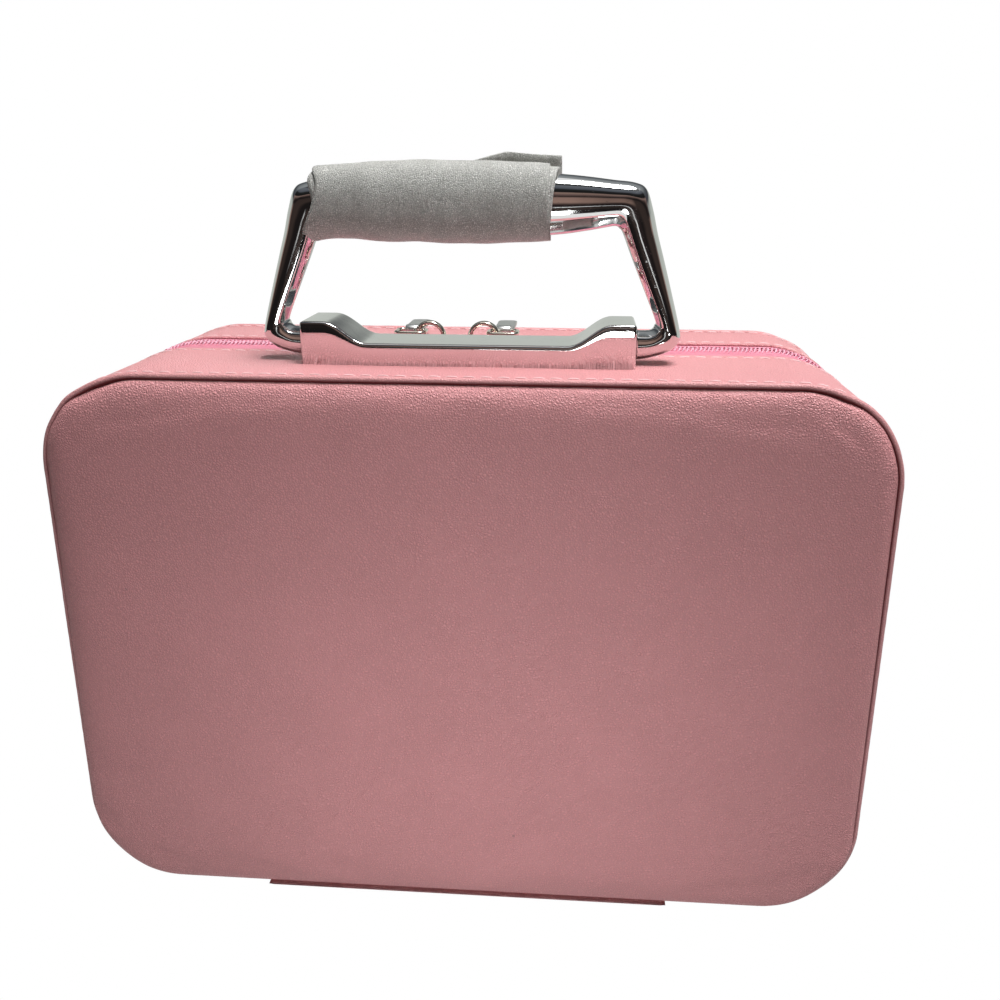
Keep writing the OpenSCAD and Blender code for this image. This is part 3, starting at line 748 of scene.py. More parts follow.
@dataclass(frozen=True)
class Track:
    """Stations round the case outline, from the middle of the bottom edge by the right side."""

    place: Array
    normal: Array
    run: Array
    facet: Array

    # How far each corner of the sewn leather stands out or in, as degrees from the side and millimetres.
    RIGHT_CORNER = ((0, 0), (18, 0.25), (33, 0.6), (42, 0.8), (54, 0.65), (67, -0.45), (80, -0.25), (90, 0))
    LEFT_CORNER = (
        (0, 0), (10, 0.3), (24, 0.95), (35, 0.7), (47, 1.0), (59, -0.4), (72, -0.85), (84, -0.3), (90, 0),
    )
    LOW_CORNER = ((0, 0), (22, 0.35), (45, 0.1), (66, 0.4), (90, 0))

    @classmethod
    def around(cls, form: CaseForm, spacing: float) -> "Track":
        """Lays stations round the outline.

        Args:
            form: the case's form.
            spacing: the distance from one station to the next.

        Returns:
            The track; its facet is how far the sewn corners stand out at each station.
        """
        cx, low, high = form.half_width - form.corner, form.bottom + form.corner, form.top - form.corner
        mirrored = tuple((90 - a, b) for a, b in cls.LEFT_CORNER[::-1])
        corners = [
            ((cx, low), -90, cls.LOW_CORNER), ((cx, high), 0, cls.RIGHT_CORNER),
            ((-cx, high), 90, mirrored), ((-cx, low), 180, cls.LOW_CORNER),
        ]
        parts = []
        foot = np.array([0.0, form.bottom])
        start = foot
        for centre, first, profile in corners:
            ray = np.array([math.cos(math.radians(first)), math.sin(math.radians(first))])
            end = np.array(centre) + form.corner * ray
            parts.append(cls._side(start, end, ray, spacing))
            bends = max(2, round(form.corner * math.pi / 2 / spacing))
            angle = 90 * np.arange(bends) / bends
            turn = np.radians(first + angle)
            rays = np.stack([np.cos(turn), np.sin(turn)], -1)
            parts.append((np.array(centre) + form.corner * rays, rays, np.interp(angle, *zip(*profile)) * MM))
            start = np.array(centre) + form.corner * np.array([-ray[1], ray[0]])
        parts.append(cls._side(start, foot, np.array([0.0, -1.0]), spacing))
        place, normal, facet = (np.concatenate(column) for column in zip(*parts))
        return cls(place, normal, lengths(place, True), facet)

    @staticmethod
    def _side(
        start: Array, end: Array, ray: Array, spacing: float
    ) -> tuple[Array, Array, Array]:
        """The places, normals and bulges along a straight side whose outward normal is the ray."""
        steps = max(1, round(np.linalg.norm(end - start) / spacing))
        place = start + (end - start) * np.arange(steps)[:, None] / steps
        return place, np.repeat(ray[None], steps, 0), np.zeros(steps)

    def point(self, inset: Array | float, y: Array | float, cut: float = 0.0) -> Array:
        """Places at an inset from the outline.

        Args:
            inset: the distance inwards, one for each station and column, or one for all.
            y: the Y, in the same form.
            cut: the share of the corners' facets that the places follow.

        Returns:
            Points, stations by columns by 3.
        """
        inset, y = np.broadcast_arrays(np.atleast_2d(inset), np.atleast_2d(y))
        if len(inset) == 1:
            inset, y = (np.repeat(v, len(self.place), 0) for v in (inset, y))
        depth = inset - cut * self.facet[:, None]
        x = self.place[:, :1] - self.normal[:, :1] * depth
        z = self.place[:, 1:] - self.normal[:, 1:] * depth
        return np.stack([x, y, z], -1)

    def stretch(self, start: float, end: float) -> "Track":
        """The stations whose run lies between two distances."""
        keep = (self.run[:-1] >= start) & (self.run[:-1] <= end)
        return Track(self.place[keep], self.normal[keep], self.run[:-1][keep], self.facet[keep])


# ---------- Repeats along a path ----------


@dataclass(frozen=True)
class Repeat:
    """A small element set out along a path at an even pitch, by Geometry Nodes."""

    name: str
    element: bpy.types.Mesh
    pitch: float
    jitter: float = 0.0
    seed: int = 1

    def along(self, points: Array, outward: Array, finish: Finish) -> Piece:
        """Sets the element out.

        Args:
            points: the path, one row each.
            outward: the direction that the element's Z takes at each point.
            finish: the finish that the tree sets.

        Returns:
            The repeated element as one plain mesh.
        """
        edges = [(i, i + 1) for i in range(len(points) - 1)]
        mesh = bpy.data.meshes.new(self.name)
        mesh.from_pydata(points.tolist(), edges, [])
        attribute = mesh.attributes.new("outward", "FLOAT_VECTOR", "POINT")
        attribute.data.foreach_set("vector", outward.astype(np.float32).ravel())
        piece = new_object(self.name, mesh)
        sample = new_object(self.name + "_element", self.element)
        tree = self._tree()
        modifier = piece.modifiers.new("Repeat", "NODES")
        modifier.node_group = tree
        values = {
            "Element": sample,
            "Pitch": self.pitch,
            "Jitter": self.jitter,
            "Seed": self.seed,
            "Finish": finish.material,
        }
        for item in tree.interface.items_tree:
            if item.name in values:
                modifier[item.identifier] = values[item.name]
        applied(piece)
        bpy.data.objects.remove(sample)
        bpy.data.node_groups.remove(tree)
        return piece

    def sewn(self, points: Array, outward: Array, finish: Finish, body: str) -> Piece:
        """Sets out a row of stitches as along() does, and dresses it in the same finish."""
        return dressed(self.along(points, outward, finish), finish, body)

    def _tree(self) -> bpy.types.NodeTree:
        """Builds the tree: resample the path, stand an element on each point, realize, set the finish."""
        tree = bpy.data.node_groups.new(self.name, "GeometryNodeTree")
        sockets = {
            "Path": "NodeSocketGeometry", "Element": "NodeSocketObject", "Pitch": "NodeSocketFloat",
            "Jitter": "NodeSocketFloat", "Seed": "NodeSocketInt", "Finish": "NodeSocketMaterial",
        }
        for name, kind in sockets.items():
            tree.interface.new_socket(name, in_out="INPUT", socket_type=kind)
        tree.interface.new_socket("Piece", in_out="OUTPUT", socket_type="NodeSocketGeometry")

        def node(kind: str, settings: dict | None = None, **links: bpy.types.NodeSocket) -> bpy.types.Node:
            """Adds a node, sets it, and links its sockets by name."""
            made = tree.nodes.new(kind)
            for key, value in (settings or {}).items():
                setattr(made, key, value)
            for key, source in links.items():
                tree.links.new(source, made.inputs[key.replace("_", " ")])
            return made

        given = node("NodeGroupInput").outputs
        curve = node("GeometryNodeMeshToCurve", Mesh=given["Path"]).outputs["Curve"]
        even = node("GeometryNodeResampleCurve", {"mode": "LENGTH"}, Curve=curve, Length=given["Pitch"])
        outward = node("GeometryNodeInputNamedAttribute", {"data_type": "FLOAT_VECTOR"})
        outward.inputs["Name"].default_value = "outward"
        tangent = node("GeometryNodeInputTangent").outputs[0]
        laid = node("FunctionNodeAlignRotationToVector", {"axis": "X"}, Vector=tangent)
        stood = node(
            "FunctionNodeAlignRotationToVector", {"axis": "Z", "pivot_axis": "X"},
            Rotation=laid.outputs[0], Vector=outward.outputs["Attribute"],
        )
        low = node("ShaderNodeMath", {"operation": "MULTIPLY"})
        tree.links.new(given["Jitter"], low.inputs[0])
        low.inputs[1].default_value = -1.0
        drawn = node("FunctionNodeRandomValue", {"data_type": "FLOAT"}, Seed=given["Seed"])
        tree.links.new(low.outputs[0], drawn.inputs[2])
        tree.links.new(given["Jitter"], drawn.inputs[3])
        spun = node("FunctionNodeAxisAngleToRotation", Angle=drawn.outputs[1])
        turned = node("FunctionNodeRotateRotation", {"rotation_space": "LOCAL"}, Rotation=stood.outputs[0])
        tree.links.new(spun.outputs[0], turned.inputs[1])
        element = node("GeometryNodeObjectInfo", Object=given["Element"])
        element.inputs["As Instance"].default_value = True
        placed = node(
            "GeometryNodeInstanceOnPoints", Points=even.outputs[0], Instance=element.outputs["Geometry"],
            Rotation=turned.outputs[0],
        )
        real = node("GeometryNodeRealizeInstances", Geometry=placed.outputs[0])
        dyed = node("GeometryNodeSetMaterial", Geometry=real.outputs[0], Material=given["Finish"])
        node("NodeGroupOutput", Piece=dyed.outputs[0])
        return tree


def wire_mesh(
    name: str, line: Array, radius: Array | float, sides: int, closed: bool = False
) -> bpy.types.Mesh:
    """Makes a round wire along a line.

    Args:
        name: the mesh's name.
        line: the wire's middle, one row each.
        radius: one radius for all points or one each.
        sides: how many sides the wire has.
        closed: whether the wire is a loop; otherwise its ends are closed.

    Returns:
        The mesh.
    """
    line = np.asarray(line, float)
    count = len(line)
    before = np.roll(line, 1, 0) if closed else np.vstack([line[:1], line[:-1]])
    after = np.roll(line, -1, 0) if closed else np.vstack([line[1:], line[-1:]])
    way = after - before
    way /= np.linalg.norm(way, axis=1)[:, None]
    up = np.array([0.0, 0.0, 1.0]) if abs(way[0, 2]) < 0.9 else np.array([0.0, 1.0, 0.0])
    sides_of = []
    for k in range(count):
        up = up - way[k] * (up @ way[k])
        up /= np.linalg.norm(up)
        sides_of.append((up.copy(), np.cross(way[k], up)))
    angle = math.tau * np.arange(sides) / sides
    radius = np.broadcast_to(radius, count)
    rings = np.array([
        line[k] + radius[k] * (np.cos(angle)[:, None] * a + np.sin(angle)[:, None] * b)
        for k, (a, b) in enumerate(sides_of)
    ])
    index = np.arange(count * sides).reshape(count, sides)
    faces = []
    for k in range(count if closed else count - 1):
        ring, following = index[k], index[(k + 1) % count]
        faces += np.stack([ring, following, np.roll(following, -1), np.roll(ring, -1)], -1).tolist()
    if not closed:
        faces += [index[0].tolist(), index[-1].tolist()]
    return mesh_of(name, rings, faces)


def stitch_mesh(length: float, radius: float, sag: float) -> bpy.types.Mesh:
    """A stitch of thread along X that dips into the leather at both ends."""
    share = np.linspace(-1, 1, 7)
    line = np.stack([share * length / 2, np.zeros(7), -sag * share**4], -1)
    return wire_mesh("stitch", line, radius * (1 - 0.45 * share**6), 6)


# ---------- Leather panels, piping and gussets ----------


@dataclass(frozen=True)
class PaddedPanel:
    """A leather panel over thin foam, crowned in its middle and drawn into a sharp crease at its rim."""

    form: CaseForm
    half: Half
    rim_inset: float = 1.45 * MM
    shift_x: float = -0.2 * MM
    shift_z: float = -0.35 * MM
    # How much of the roll is left at the case's foot.
    foot: float = 0.45
    border: tuple[float, ...] = (0.0, 0.06, 0.16, 0.32, 0.55, 0.9, 1.4, 2.1, 3.1, 4.5, 6.5)
    long_cells: int = 58
    short_cells: int = 38
    # Height and reach of each part of the roll from the rim to the crown.
    roll: tuple[tuple[float, float], ...] = ((1.2 * MM, 0.9 * MM), (2.3 * MM, 3.0 * MM), (0.1 * MM, 13 * MM))
    swell_cap: float = 0.15 * MM
    settle_frames: int = 12
    # How far the panel's back stands out from the piping's seam.
    back_gap: float = 0.6 * MM

    # The wall in the crease, as millimetres inside the rim and below the crown.
    WALL = ((0.95, 4.45), (0.8, 4.3), (0.4, 4.0), (0.08, 3.8))

    def build(self) -> Piece:
        """Makes the panel: shape it, let its cover settle over the foam, and smooth it once."""
        mesh, held = self._shell()
        piece = new_object(self.half.name + "_panel_leather", mesh)
        self._settle(piece, held)
        self._lay_unevenly(piece)
        smooth = piece.modifiers.new("Smooth", "SUBSURF")
        smooth.levels = smooth.render_levels = 1
        applied(piece)
        dressed(piece, Finish.LEATHER, self.half.body, self.half.name + "_panel")
        return piece

    def _stations(self, inset: float) -> Array:
        """The rim at an inset, from the lower left corner's middle, as x and z."""
        form = self.form
        half = form.straight
        radius = form.corner - inset
        turns = 9
        corners = np.array([(-1, -1), (1, -1), (1, 1), (-1, 1)]) * half
        sides = []
        for k, cells in enumerate((self.long_cells, self.short_cells) * 2):
            here, there = corners[k], corners[(k + 1) % 4]
            out = math.radians(-90 + 90 * k)
            straight = cells - 2 * turns
            lead = [here + radius * self._ray(out - math.pi / 4 * (1 - i / turns)) for i in range(turns)]
            aside = radius * self._ray(out)
            run = [here + (there - here) * i / straight + aside for i in range(straight + 1)]
            tail = [there + radius * self._ray(out + math.pi / 4 * i / turns) for i in range(1, turns)]
            sides += lead + run + tail
        return np.array(sides) + (self.shift_x, form.middle + self.shift_z)

    @staticmethod
    def _ray(angle: float) -> Array:
        """A unit vector at an angle."""
        return np.array([math.cos(angle), math.sin(angle)])

    def _depth(self, x: Array, z: Array) -> Array:
        """How far places lie inside the panel's rim."""
        form = self.form
        half = form.straight
        over_x = np.abs(x - self.shift_x) - half[0]
        over_z = np.abs(z - form.middle - self.shift_z) - half[1]
        over = np.stack([over_x, over_z], -1)
        outside = np.linalg.norm(np.maximum(over, 0), axis=-1) + np.minimum(over.max(-1), 0)
        return np.maximum(form.corner - self.rim_inset - outside, 0)

    def _fall(self, depth: Array, z: Array) -> Array:
        """How far the cover lies below its crown at a depth inside the rim, less towards the case's foot."""
        form = self.form
        share = np.clip((z - form.bottom) / (2 * (form.middle - form.bottom)), 0, 1)
        rolled = sum(height * np.exp(-depth / reach) for height, reach in self.roll)
        return rolled * (self.foot + (1 - self.foot) * share)

    def _shell(self) -> tuple[bpy.types.Mesh, list[int]]:
        """The closed shell before it settles, and the vertices that its seam holds."""
        wall, wall_fall = np.array(self.WALL).T * MM
        border = np.array(self.border) * MM
        depths = np.concatenate([wall, border])
        base = self._stations(self.rim_inset)
        facet = self._facet(base)
        rings = [self._stations(self.rim_inset + d) + facet * math.exp(-d / (5 * MM)) for d in depths]
        count, walls = len(base), len(wall)
        grid = self._patch(rings[-1])
        flat = np.vstack([*rings[:-1], grid.reshape(-1, 2)])
        wall_fall, rim_depth = np.repeat(wall_fall, count), np.repeat(border[:-1], count)
        rim_fall = self._fall(rim_depth, flat[len(wall_fall) : len(wall_fall) + len(rim_depth), 1])
        grid_fall = self._fall(self._depth(grid[..., 0], grid[..., 1]), grid[..., 1]).ravel()
        out = -self.half.way
        y = self.half.crown_y - out * np.concatenate([wall_fall, rim_fall, grid_fall])
        front = np.stack([flat[:, 0], y, flat[:, 1]], -1)
        under = self._patch(rings[0]).reshape(-1, 2)
        back_y = np.full(len(under), self.half.seam_y + out * self.back_gap)
        back = np.stack([under[:, 0], back_y, under[:, 1]], -1)
        cells = np.arange(grid.shape[0] * grid.shape[1]).reshape(grid.shape[:2])
        rim = count * (len(rings) - 1)
        open_grid, back_grid = cells + rim, cells + len(front)
        index = np.vstack([self._loop(back_grid), np.arange(rim).reshape(-1, count), self._loop(open_grid)])
        index = np.hstack([index, index[:, :1]])
        sheets = [(g[:-1, :-1], g[:-1, 1:], g[1:, 1:], g[1:, :-1]) for g in (index, open_grid, back_grid)]
        faces = [face for sheet in sheets for face in np.stack(sheet, -1).reshape(-1, 4).tolist()]
        held = list(range(count * (walls + 3))) + list(range(len(front), len(front) + len(back)))
        mesh = mesh_of(self.half.name + "_panel_leather", np.vstack([front, back]), faces)
        # Painted shade: the crease's wall and the back take full seam shade, which fades within a fraction of
        # a millimetre of the rim.
        tone = np.concatenate([np.ones(walls), np.exp(-((border[:-1] / (0.2 * MM)) ** 2))])
        seam = np.concatenate([np.repeat(tone, count), np.zeros(grid_fall.size), np.ones(len(back))])
        add_seam_shade(mesh, seam)
        return mesh, held

    @staticmethod
    def _loop(grid: Array) -> Array:
        """The rim of a grid of vertex numbers, from its lower left corner."""
        return np.concatenate([grid[0, :-1], grid[:-1, -1], grid[-1, :0:-1], grid[:0:-1, 0]])

    def _facet(self, ring: Array) -> Array:
        """How the sewn corners move the rim in and out."""
        track = Track.around(self.form, 0.5 * MM)
        near = np.argmin(np.linalg.norm(ring[:, None] - track.place[None], axis=-1), 1)
        return track.normal[near] * track.facet[near][:, None]

    def _patch(self, rim: Array) -> Array:
        """Fills a closed rim with a grid that meets it on all four sides."""
        n, m = self.long_cells, self.short_cells
        low, right = rim[: n + 1], rim[n : n + m + 1]
        high, left = rim[n + m : 2 * n + m + 1][::-1], np.vstack([rim[2 * n + m :], rim[:1]])[::-1]
        u = np.linspace(0, 1, n + 1)[None, :, None]
        v = np.linspace(0, 1, m + 1)[:, None, None]
        blend = (1 - v) * low[None] + v * high[None] + (1 - u) * left[:, None] + u * right[:, None]
        corners = (1 - u) * (1 - v) * low[0] + u * (1 - v) * low[-1]
        corners = corners + (1 - u) * v * high[0] + u * v * high[-1]
        return blend - corners

    def _settle(self, piece: Piece, held: list[int]) -> None:
        """Lets the cover swell over its foam, and keeps its movement under the cap.

        Args:
            piece: the panel.
            held: the vertices that the seam holds.
        """
        start = places_of(piece.data)
        group = piece.vertex_groups.new(name="held")
        group.add(held, 1.0, "REPLACE")
        cloth = piece.modifiers.new("Cover", "CLOTH")
        cloth.settings.use_pressure = True
        cloth.settings.uniform_pressure_force = 0.5
        cloth.settings.vertex_group_mass = "held"
        cloth.settings.effector_weights.gravity = 0.0
        cloth.settings.tension_stiffness = 40
        cloth.settings.compression_stiffness = 40
        cloth.settings.bending_stiffness = 6
        cloth.settings.shrink_min = -0.004
        scene = bpy.context.scene
        for step in range(1, self.settle_frames + 1):
            scene.frame_set(step)
        applied(piece)
        scene.frame_set(1)
        move = places_of(piece.data) - start
        size = np.linalg.norm(move, axis=1)[:, None]
        move *= self.swell_cap * np.tanh(size / self.swell_cap) / np.maximum(size, 1e-9)
        put_vertices(piece.data, start + move)
        piece.data.update()
        log.info("%s settled by up to %.2f mm", piece.name, float(size.max()) / MM)

    def _lay_unevenly(self, piece: Piece) -> None:
        """Lets the cover lie a little unevenly over its foam."""
        place = places_of(piece.data)
        open_face = np.clip(self._depth(place[:, 0], place[:, 2]) / (6 * MM), 0, 1)
        front = np.abs(place[:, 1] - self.half.crown_y) < 1.5 * MM
        flat = place[:, ::2]
        waves = ripple(flat, 70 * MM, 3) * 0.1 * MM + ripple(flat, 24 * MM, 4) * 0.02 * MM
        place[:, 1] += (waves + 0.12 * MM * self.half.way) * open_face * front
        put_vertices(piece.data, place)


@dataclass(frozen=True)
class Piping:
    """The leather bead round a panel, drawn over a cord and sewn into the seam by its flange."""

    form: CaseForm
    half: Half
    sides: int = 15
    spacing: float = 1.1 * MM

    def build(self) -> Piece:
        """Makes the bead and the flange behind it as one closed section."""
        form, half = self.form, self.half
        track = Track.around(form, self.spacing)
        ring = np.radians(np.linspace(-150, 150, self.sides))
        # The section is the bead's outside and the flange that runs in from the seam.
        radius = form.bead * 0.94
        beside = 0.95 * MM * half.way
        flange = np.array([5.0 * MM, 5.0 * MM])
        places = np.stack([track.place[:, 0], track.place[:, 1]], -1)
        broad, fine = ripple(places, 14 * MM, 11), ripple(places, 3.2 * MM, 12)
        wobble = (1 + 0.03 * broad + 0.03 * fine)[:, None]
        inset = form.bead - radius * np.cos(ring)[None] * wobble
        inset = np.hstack([np.maximum(inset, 0.0), np.repeat(flange[None], len(places), 0)])
        y = half.seam_y - beside - half.way * radius * np.sin(ring)
        y = np.repeat(np.concatenate([y, [half.y(-0.6 * MM), half.y(0.0)]])[None], len(places), 0)
        points = track.point(inset, y, cut=0.45)
        # Painted shade: the bead's colour darkens where it meets the panel.
        painted_shade_by_panel = np.clip((np.cos(ring - math.radians(150)) - 0.6) / 0.25, 0, 1)
        seam = np.ones(points.shape[:2])
        seam[:, : self.sides] = painted_shade_by_panel[None]
        piece = Lattice(half.name + "_piping_leather", points, True, True, seam=seam).build()
        return dressed(piece, Finish.PIPING, half.body, half.name + "_piping")


@dataclass(frozen=True)
class Gusset:
    """The leather round one half: tucked in beside the piping, turned under and stitched beside the zip."""

    form: CaseForm
    half: Half
    node: str
    pitch: float = 4.7 * MM
    seam_row: float = 1.7 * MM
    hem_row: float = 3.0 * MM
    spacing: float = 1.18 * MM

    # Distance and inset in millimetres: the edge beside the piping, measured from the seam, and the
    # hem that is turned under, measured from the leather's own edge.
    TUCK = (
        (-0.9, 1.3), (-0.35, 1.02), (0.15, 0.78), (0.7, 0.6), (1.2, 0.5), (1.7, 0.46), (2.2, 0.44),
        (3.0, 0.41),
    )
    HEM = (
        (-4.6, 0.4), (-3.9, 0.4), (-3.4, 0.4), (-3.0, 0.4), (-2.6, 0.38), (-2.1, 0.3), (-1.5, 0.2),
        (-0.9, 0.16), (-0.4, 0.26), (-0.1, 0.5), (0.0, 0.8), (-0.1, 1.1), (-0.4, 1.34),
    )

    def build(self) -> list[Piece]:
        """Makes the leather and its two rows of stitches."""
        form, half = self.form, self.half
        track = Track.around(form, self.spacing)
        section = self._section()
        run = track.run[:-1]
        count = round(track.run[-1] / self.pitch)
        beat = 0.5 + 0.5 * np.cos(math.tau * run / track.run[-1] * count)
        offset, inset = (np.repeat(column[None], len(run), 0) for column in section.T)
        open_side = self._open_side(section)
        # Each stitch pulls the leather down, so that it stands up in small scallops between them.
        near_seam = np.exp(-(((offset - self.seam_row) / (1.1 * MM)) ** 2))
        near_hem = np.exp(-(((offset - (half.reach - self.hem_row)) / (0.9 * MM)) ** 2))
        dip = (0.1 * near_seam + 0.08 * near_hem) * MM * (0.3 + 0.7 * beat[:, None])
        middle = np.clip(np.minimum(offset, half.reach - offset) / (8 * MM), 0, 1)
        places = track.point(inset, half.y(offset))
        sway = ripple(places, 42 * MM, 21) * 0.09 * MM * middle
        inset = inset + np.where(open_side, dip + sway, 0.0)
        points = track.point(np.maximum(inset, 0.02 * MM), half.y(offset), cut=0.2)
        # Painted shade: the leather darkens a little in the stitches' dips, and more where it tucks in beside
        # the piping.
        seam = np.where(open_side, (0.02 * near_hem + 0.03 * near_seam) * beat[:, None], 1.0)
        seam = np.maximum(seam, 0.5 * np.clip(1 - offset / (0.4 * MM), 0, 1))
        leather = Lattice(self.node + "_leather", points, True, True, seam=seam).build()
        dressed(leather, Finish.LEATHER, half.body, self.node)
        hem = self._stitches("hem", half.reach - self.hem_row)
        return [leather, hem, self._stitches("seam", self.seam_row)]

    def _section(self) -> Array:
        """The closed section as distance from the seam and inset: the open side first, then the back."""
        reach, skin, inset = self.half.reach, self.form.skin, self.form.skin_inset
        flat = [(v / MM, inset / MM) for v in np.linspace(5 * MM, reach - 6 * MM, 7)]
        end = reach / MM
        hem = [(end + offset, below) for offset, below in self.HEM]
        under = (inset + skin) / MM
        back = [(end - 3, under), (end * 0.5, under), (1.0, under), (-0.9, under + 0.02)]
        return np.array([*self.TUCK, *flat, *hem, *back]) * MM

    def _open_side(self, section: Array) -> Array:
        """Which points of the section lie on the side that shows."""
        return section[:, 1] < self.form.skin_inset + 0.7 * self.form.skin

    def _stitches(self, row: str, offset: float) -> Piece:
        """One row of stitches round the gusset, apart from the stretch that the spine covers."""
        form, half = self.form, self.half
        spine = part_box("body_spine")[1].x
        whole = Track.around(form, 1.0 * MM)
        track = whole.stretch(spine + 2 * MM, whole.run[-1] - spine - 2 * MM)
        points = track.point(form.skin_inset + 0.02 * MM, half.y(offset), cut=0.2)[:, 0]
        element = stitch_mesh(0.76 * self.pitch, 0.3 * MM, 0.3 * MM)
        rows = Repeat(f"{self.node}_{row}_stitches", element, self.pitch, math.radians(4), 5)
        return rows.sewn(points, outwards(track), Finish.THREAD, half.body)


# ---------- Zip ----------


@dataclass(frozen=True)
class ZipSide:
    """One side of the zip: a woven tape, a nylon coil on its edge and the thread that sews it down."""

    form: CaseForm
    half: Half
    name: str
    middle: float
    pitch: float = 1.3 * MM
    wire: float = 0.29 * MM
    thread_pitch: float = 2.3 * MM
    thread_row: float = 1.75 * MM

    @property
    def bare(self) -> float:
        """How much of the tape shows beside the zip's middle."""
        return abs(self.middle - self.half.edge_y)

    # Places beside the zip's middle and insets, in millimetres: the tape's outside, then its back.
    TAPE = (
        (15.6, 1.42), (13.9, 1.42), (12.0, 1.24), (10.0, 1.12), (8.0, 1.1), (6.4, 1.12), (5.0, 1.2),
        (4.0, 1.4), (3.4, 1.3), (2.9, 1.16), (2.0, 1.06), (0.3, 1.05), (0.25, 2.4), (2.4, 2.4),
        (3.2, 2.25), (4.2, 2.0), (6.0, 1.9), (15.6, 1.99),
    )
    # One turn of the coil: along the zip in pitches, beside its middle and below the leather, in millimetres.
    TURN = (
        (0.0, 2.6, 1.75), (0.0, 1.0, 1.95), (0.0, -0.35, 1.75), (0.0, -0.78, 1.05), (0.0, -0.35, 0.4),
        (0.0, 1.0, 0.12), (0.15, 2.3, 0.2), (0.5, 2.85, 0.9), (0.9, 2.75, 1.6),
    )

    def build(self) -> list[Piece]:
        """Makes the tape, the coil and the sewing thread."""
        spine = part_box("body_spine")[1].x
        return [self._tape(spine), self._coil(spine), self._threads(spine)]

    def _track(self, spine: float, spacing: float, ahead: float = 0.0) -> Track:
        """The stations from one end of the spine strip round to the other."""
        whole = Track.around(self.form, spacing)
        return whole.stretch(spine + ahead, whole.run[-1] - spine)

    def _tape(self, spine: float) -> Piece:
        """The tape, which dives under the coil and ripples a little beside it."""
        beside, inset = np.array(self.TAPE).T * MM
        track = self._track(spine, 1.6 * MM)
        y = self.middle - self.half.way * beside
        flat = track.point(inset, y)
        open_part = np.clip(1 - np.abs(beside - 7.5 * MM) / (4.5 * MM), 0, 1)
        wave = ripple(flat, 13 * MM, 31) * 0.09 * MM * open_part
        points = track.point(inset + wave, np.broadcast_to(y, wave.shape))
        seam = np.repeat(np.clip((beside - self.bare) / (0.6 * MM), 0, 1)[None], len(points), 0)
        tape = Lattice(self.name + "_zip_weave", points, False, True, Cap.FACE, seam).build()
        return dressed(tape, Finish.TAPE, self.half.body, self.name + "_zip_tape")

    def _coil(self, spine: float) -> Piece:
        """The coil, whose turns reach between those of the other side."""
        along, beside, below = np.array(self.TURN).T
        line = np.stack([along * self.pitch, self.half.way * beside * MM, -below * MM], -1)
        turn = wire_mesh("coil_turn", line, self.wire, 5)
        shift = 0.0 if self.half.way > 0 else self.pitch / 2
        track = self._track(spine, 0.65 * MM, shift)
        points = track.point(self.form.skin_inset, self.middle)[:, 0]
        coil = Repeat(self.name + "_zip_coil", turn, self.pitch).along(points, outwards(track), Finish.COIL)
        return dressed(coil, Finish.COIL, self.half.body, self.name + "_zip_teeth")

    def _threads(self, spine: float) -> Piece:
        """The row of sewing thread over the coil."""
        track = self._track(spine, 1.0 * MM)
        y = self.middle - self.half.way * self.thread_row
        points = track.point(self.form.skin_inset + 0.02 * MM, y)[:, 0]
        stitch = stitch_mesh(0.72 * self.thread_pitch, 0.2 * MM, 0.3 * MM)
        row = Repeat(self.name + "_zip_threads", stitch, self.thread_pitch, math.radians(8), 9)
        return row.sewn(points, outwards(track), Finish.ZIP_THREAD, self.half.body)


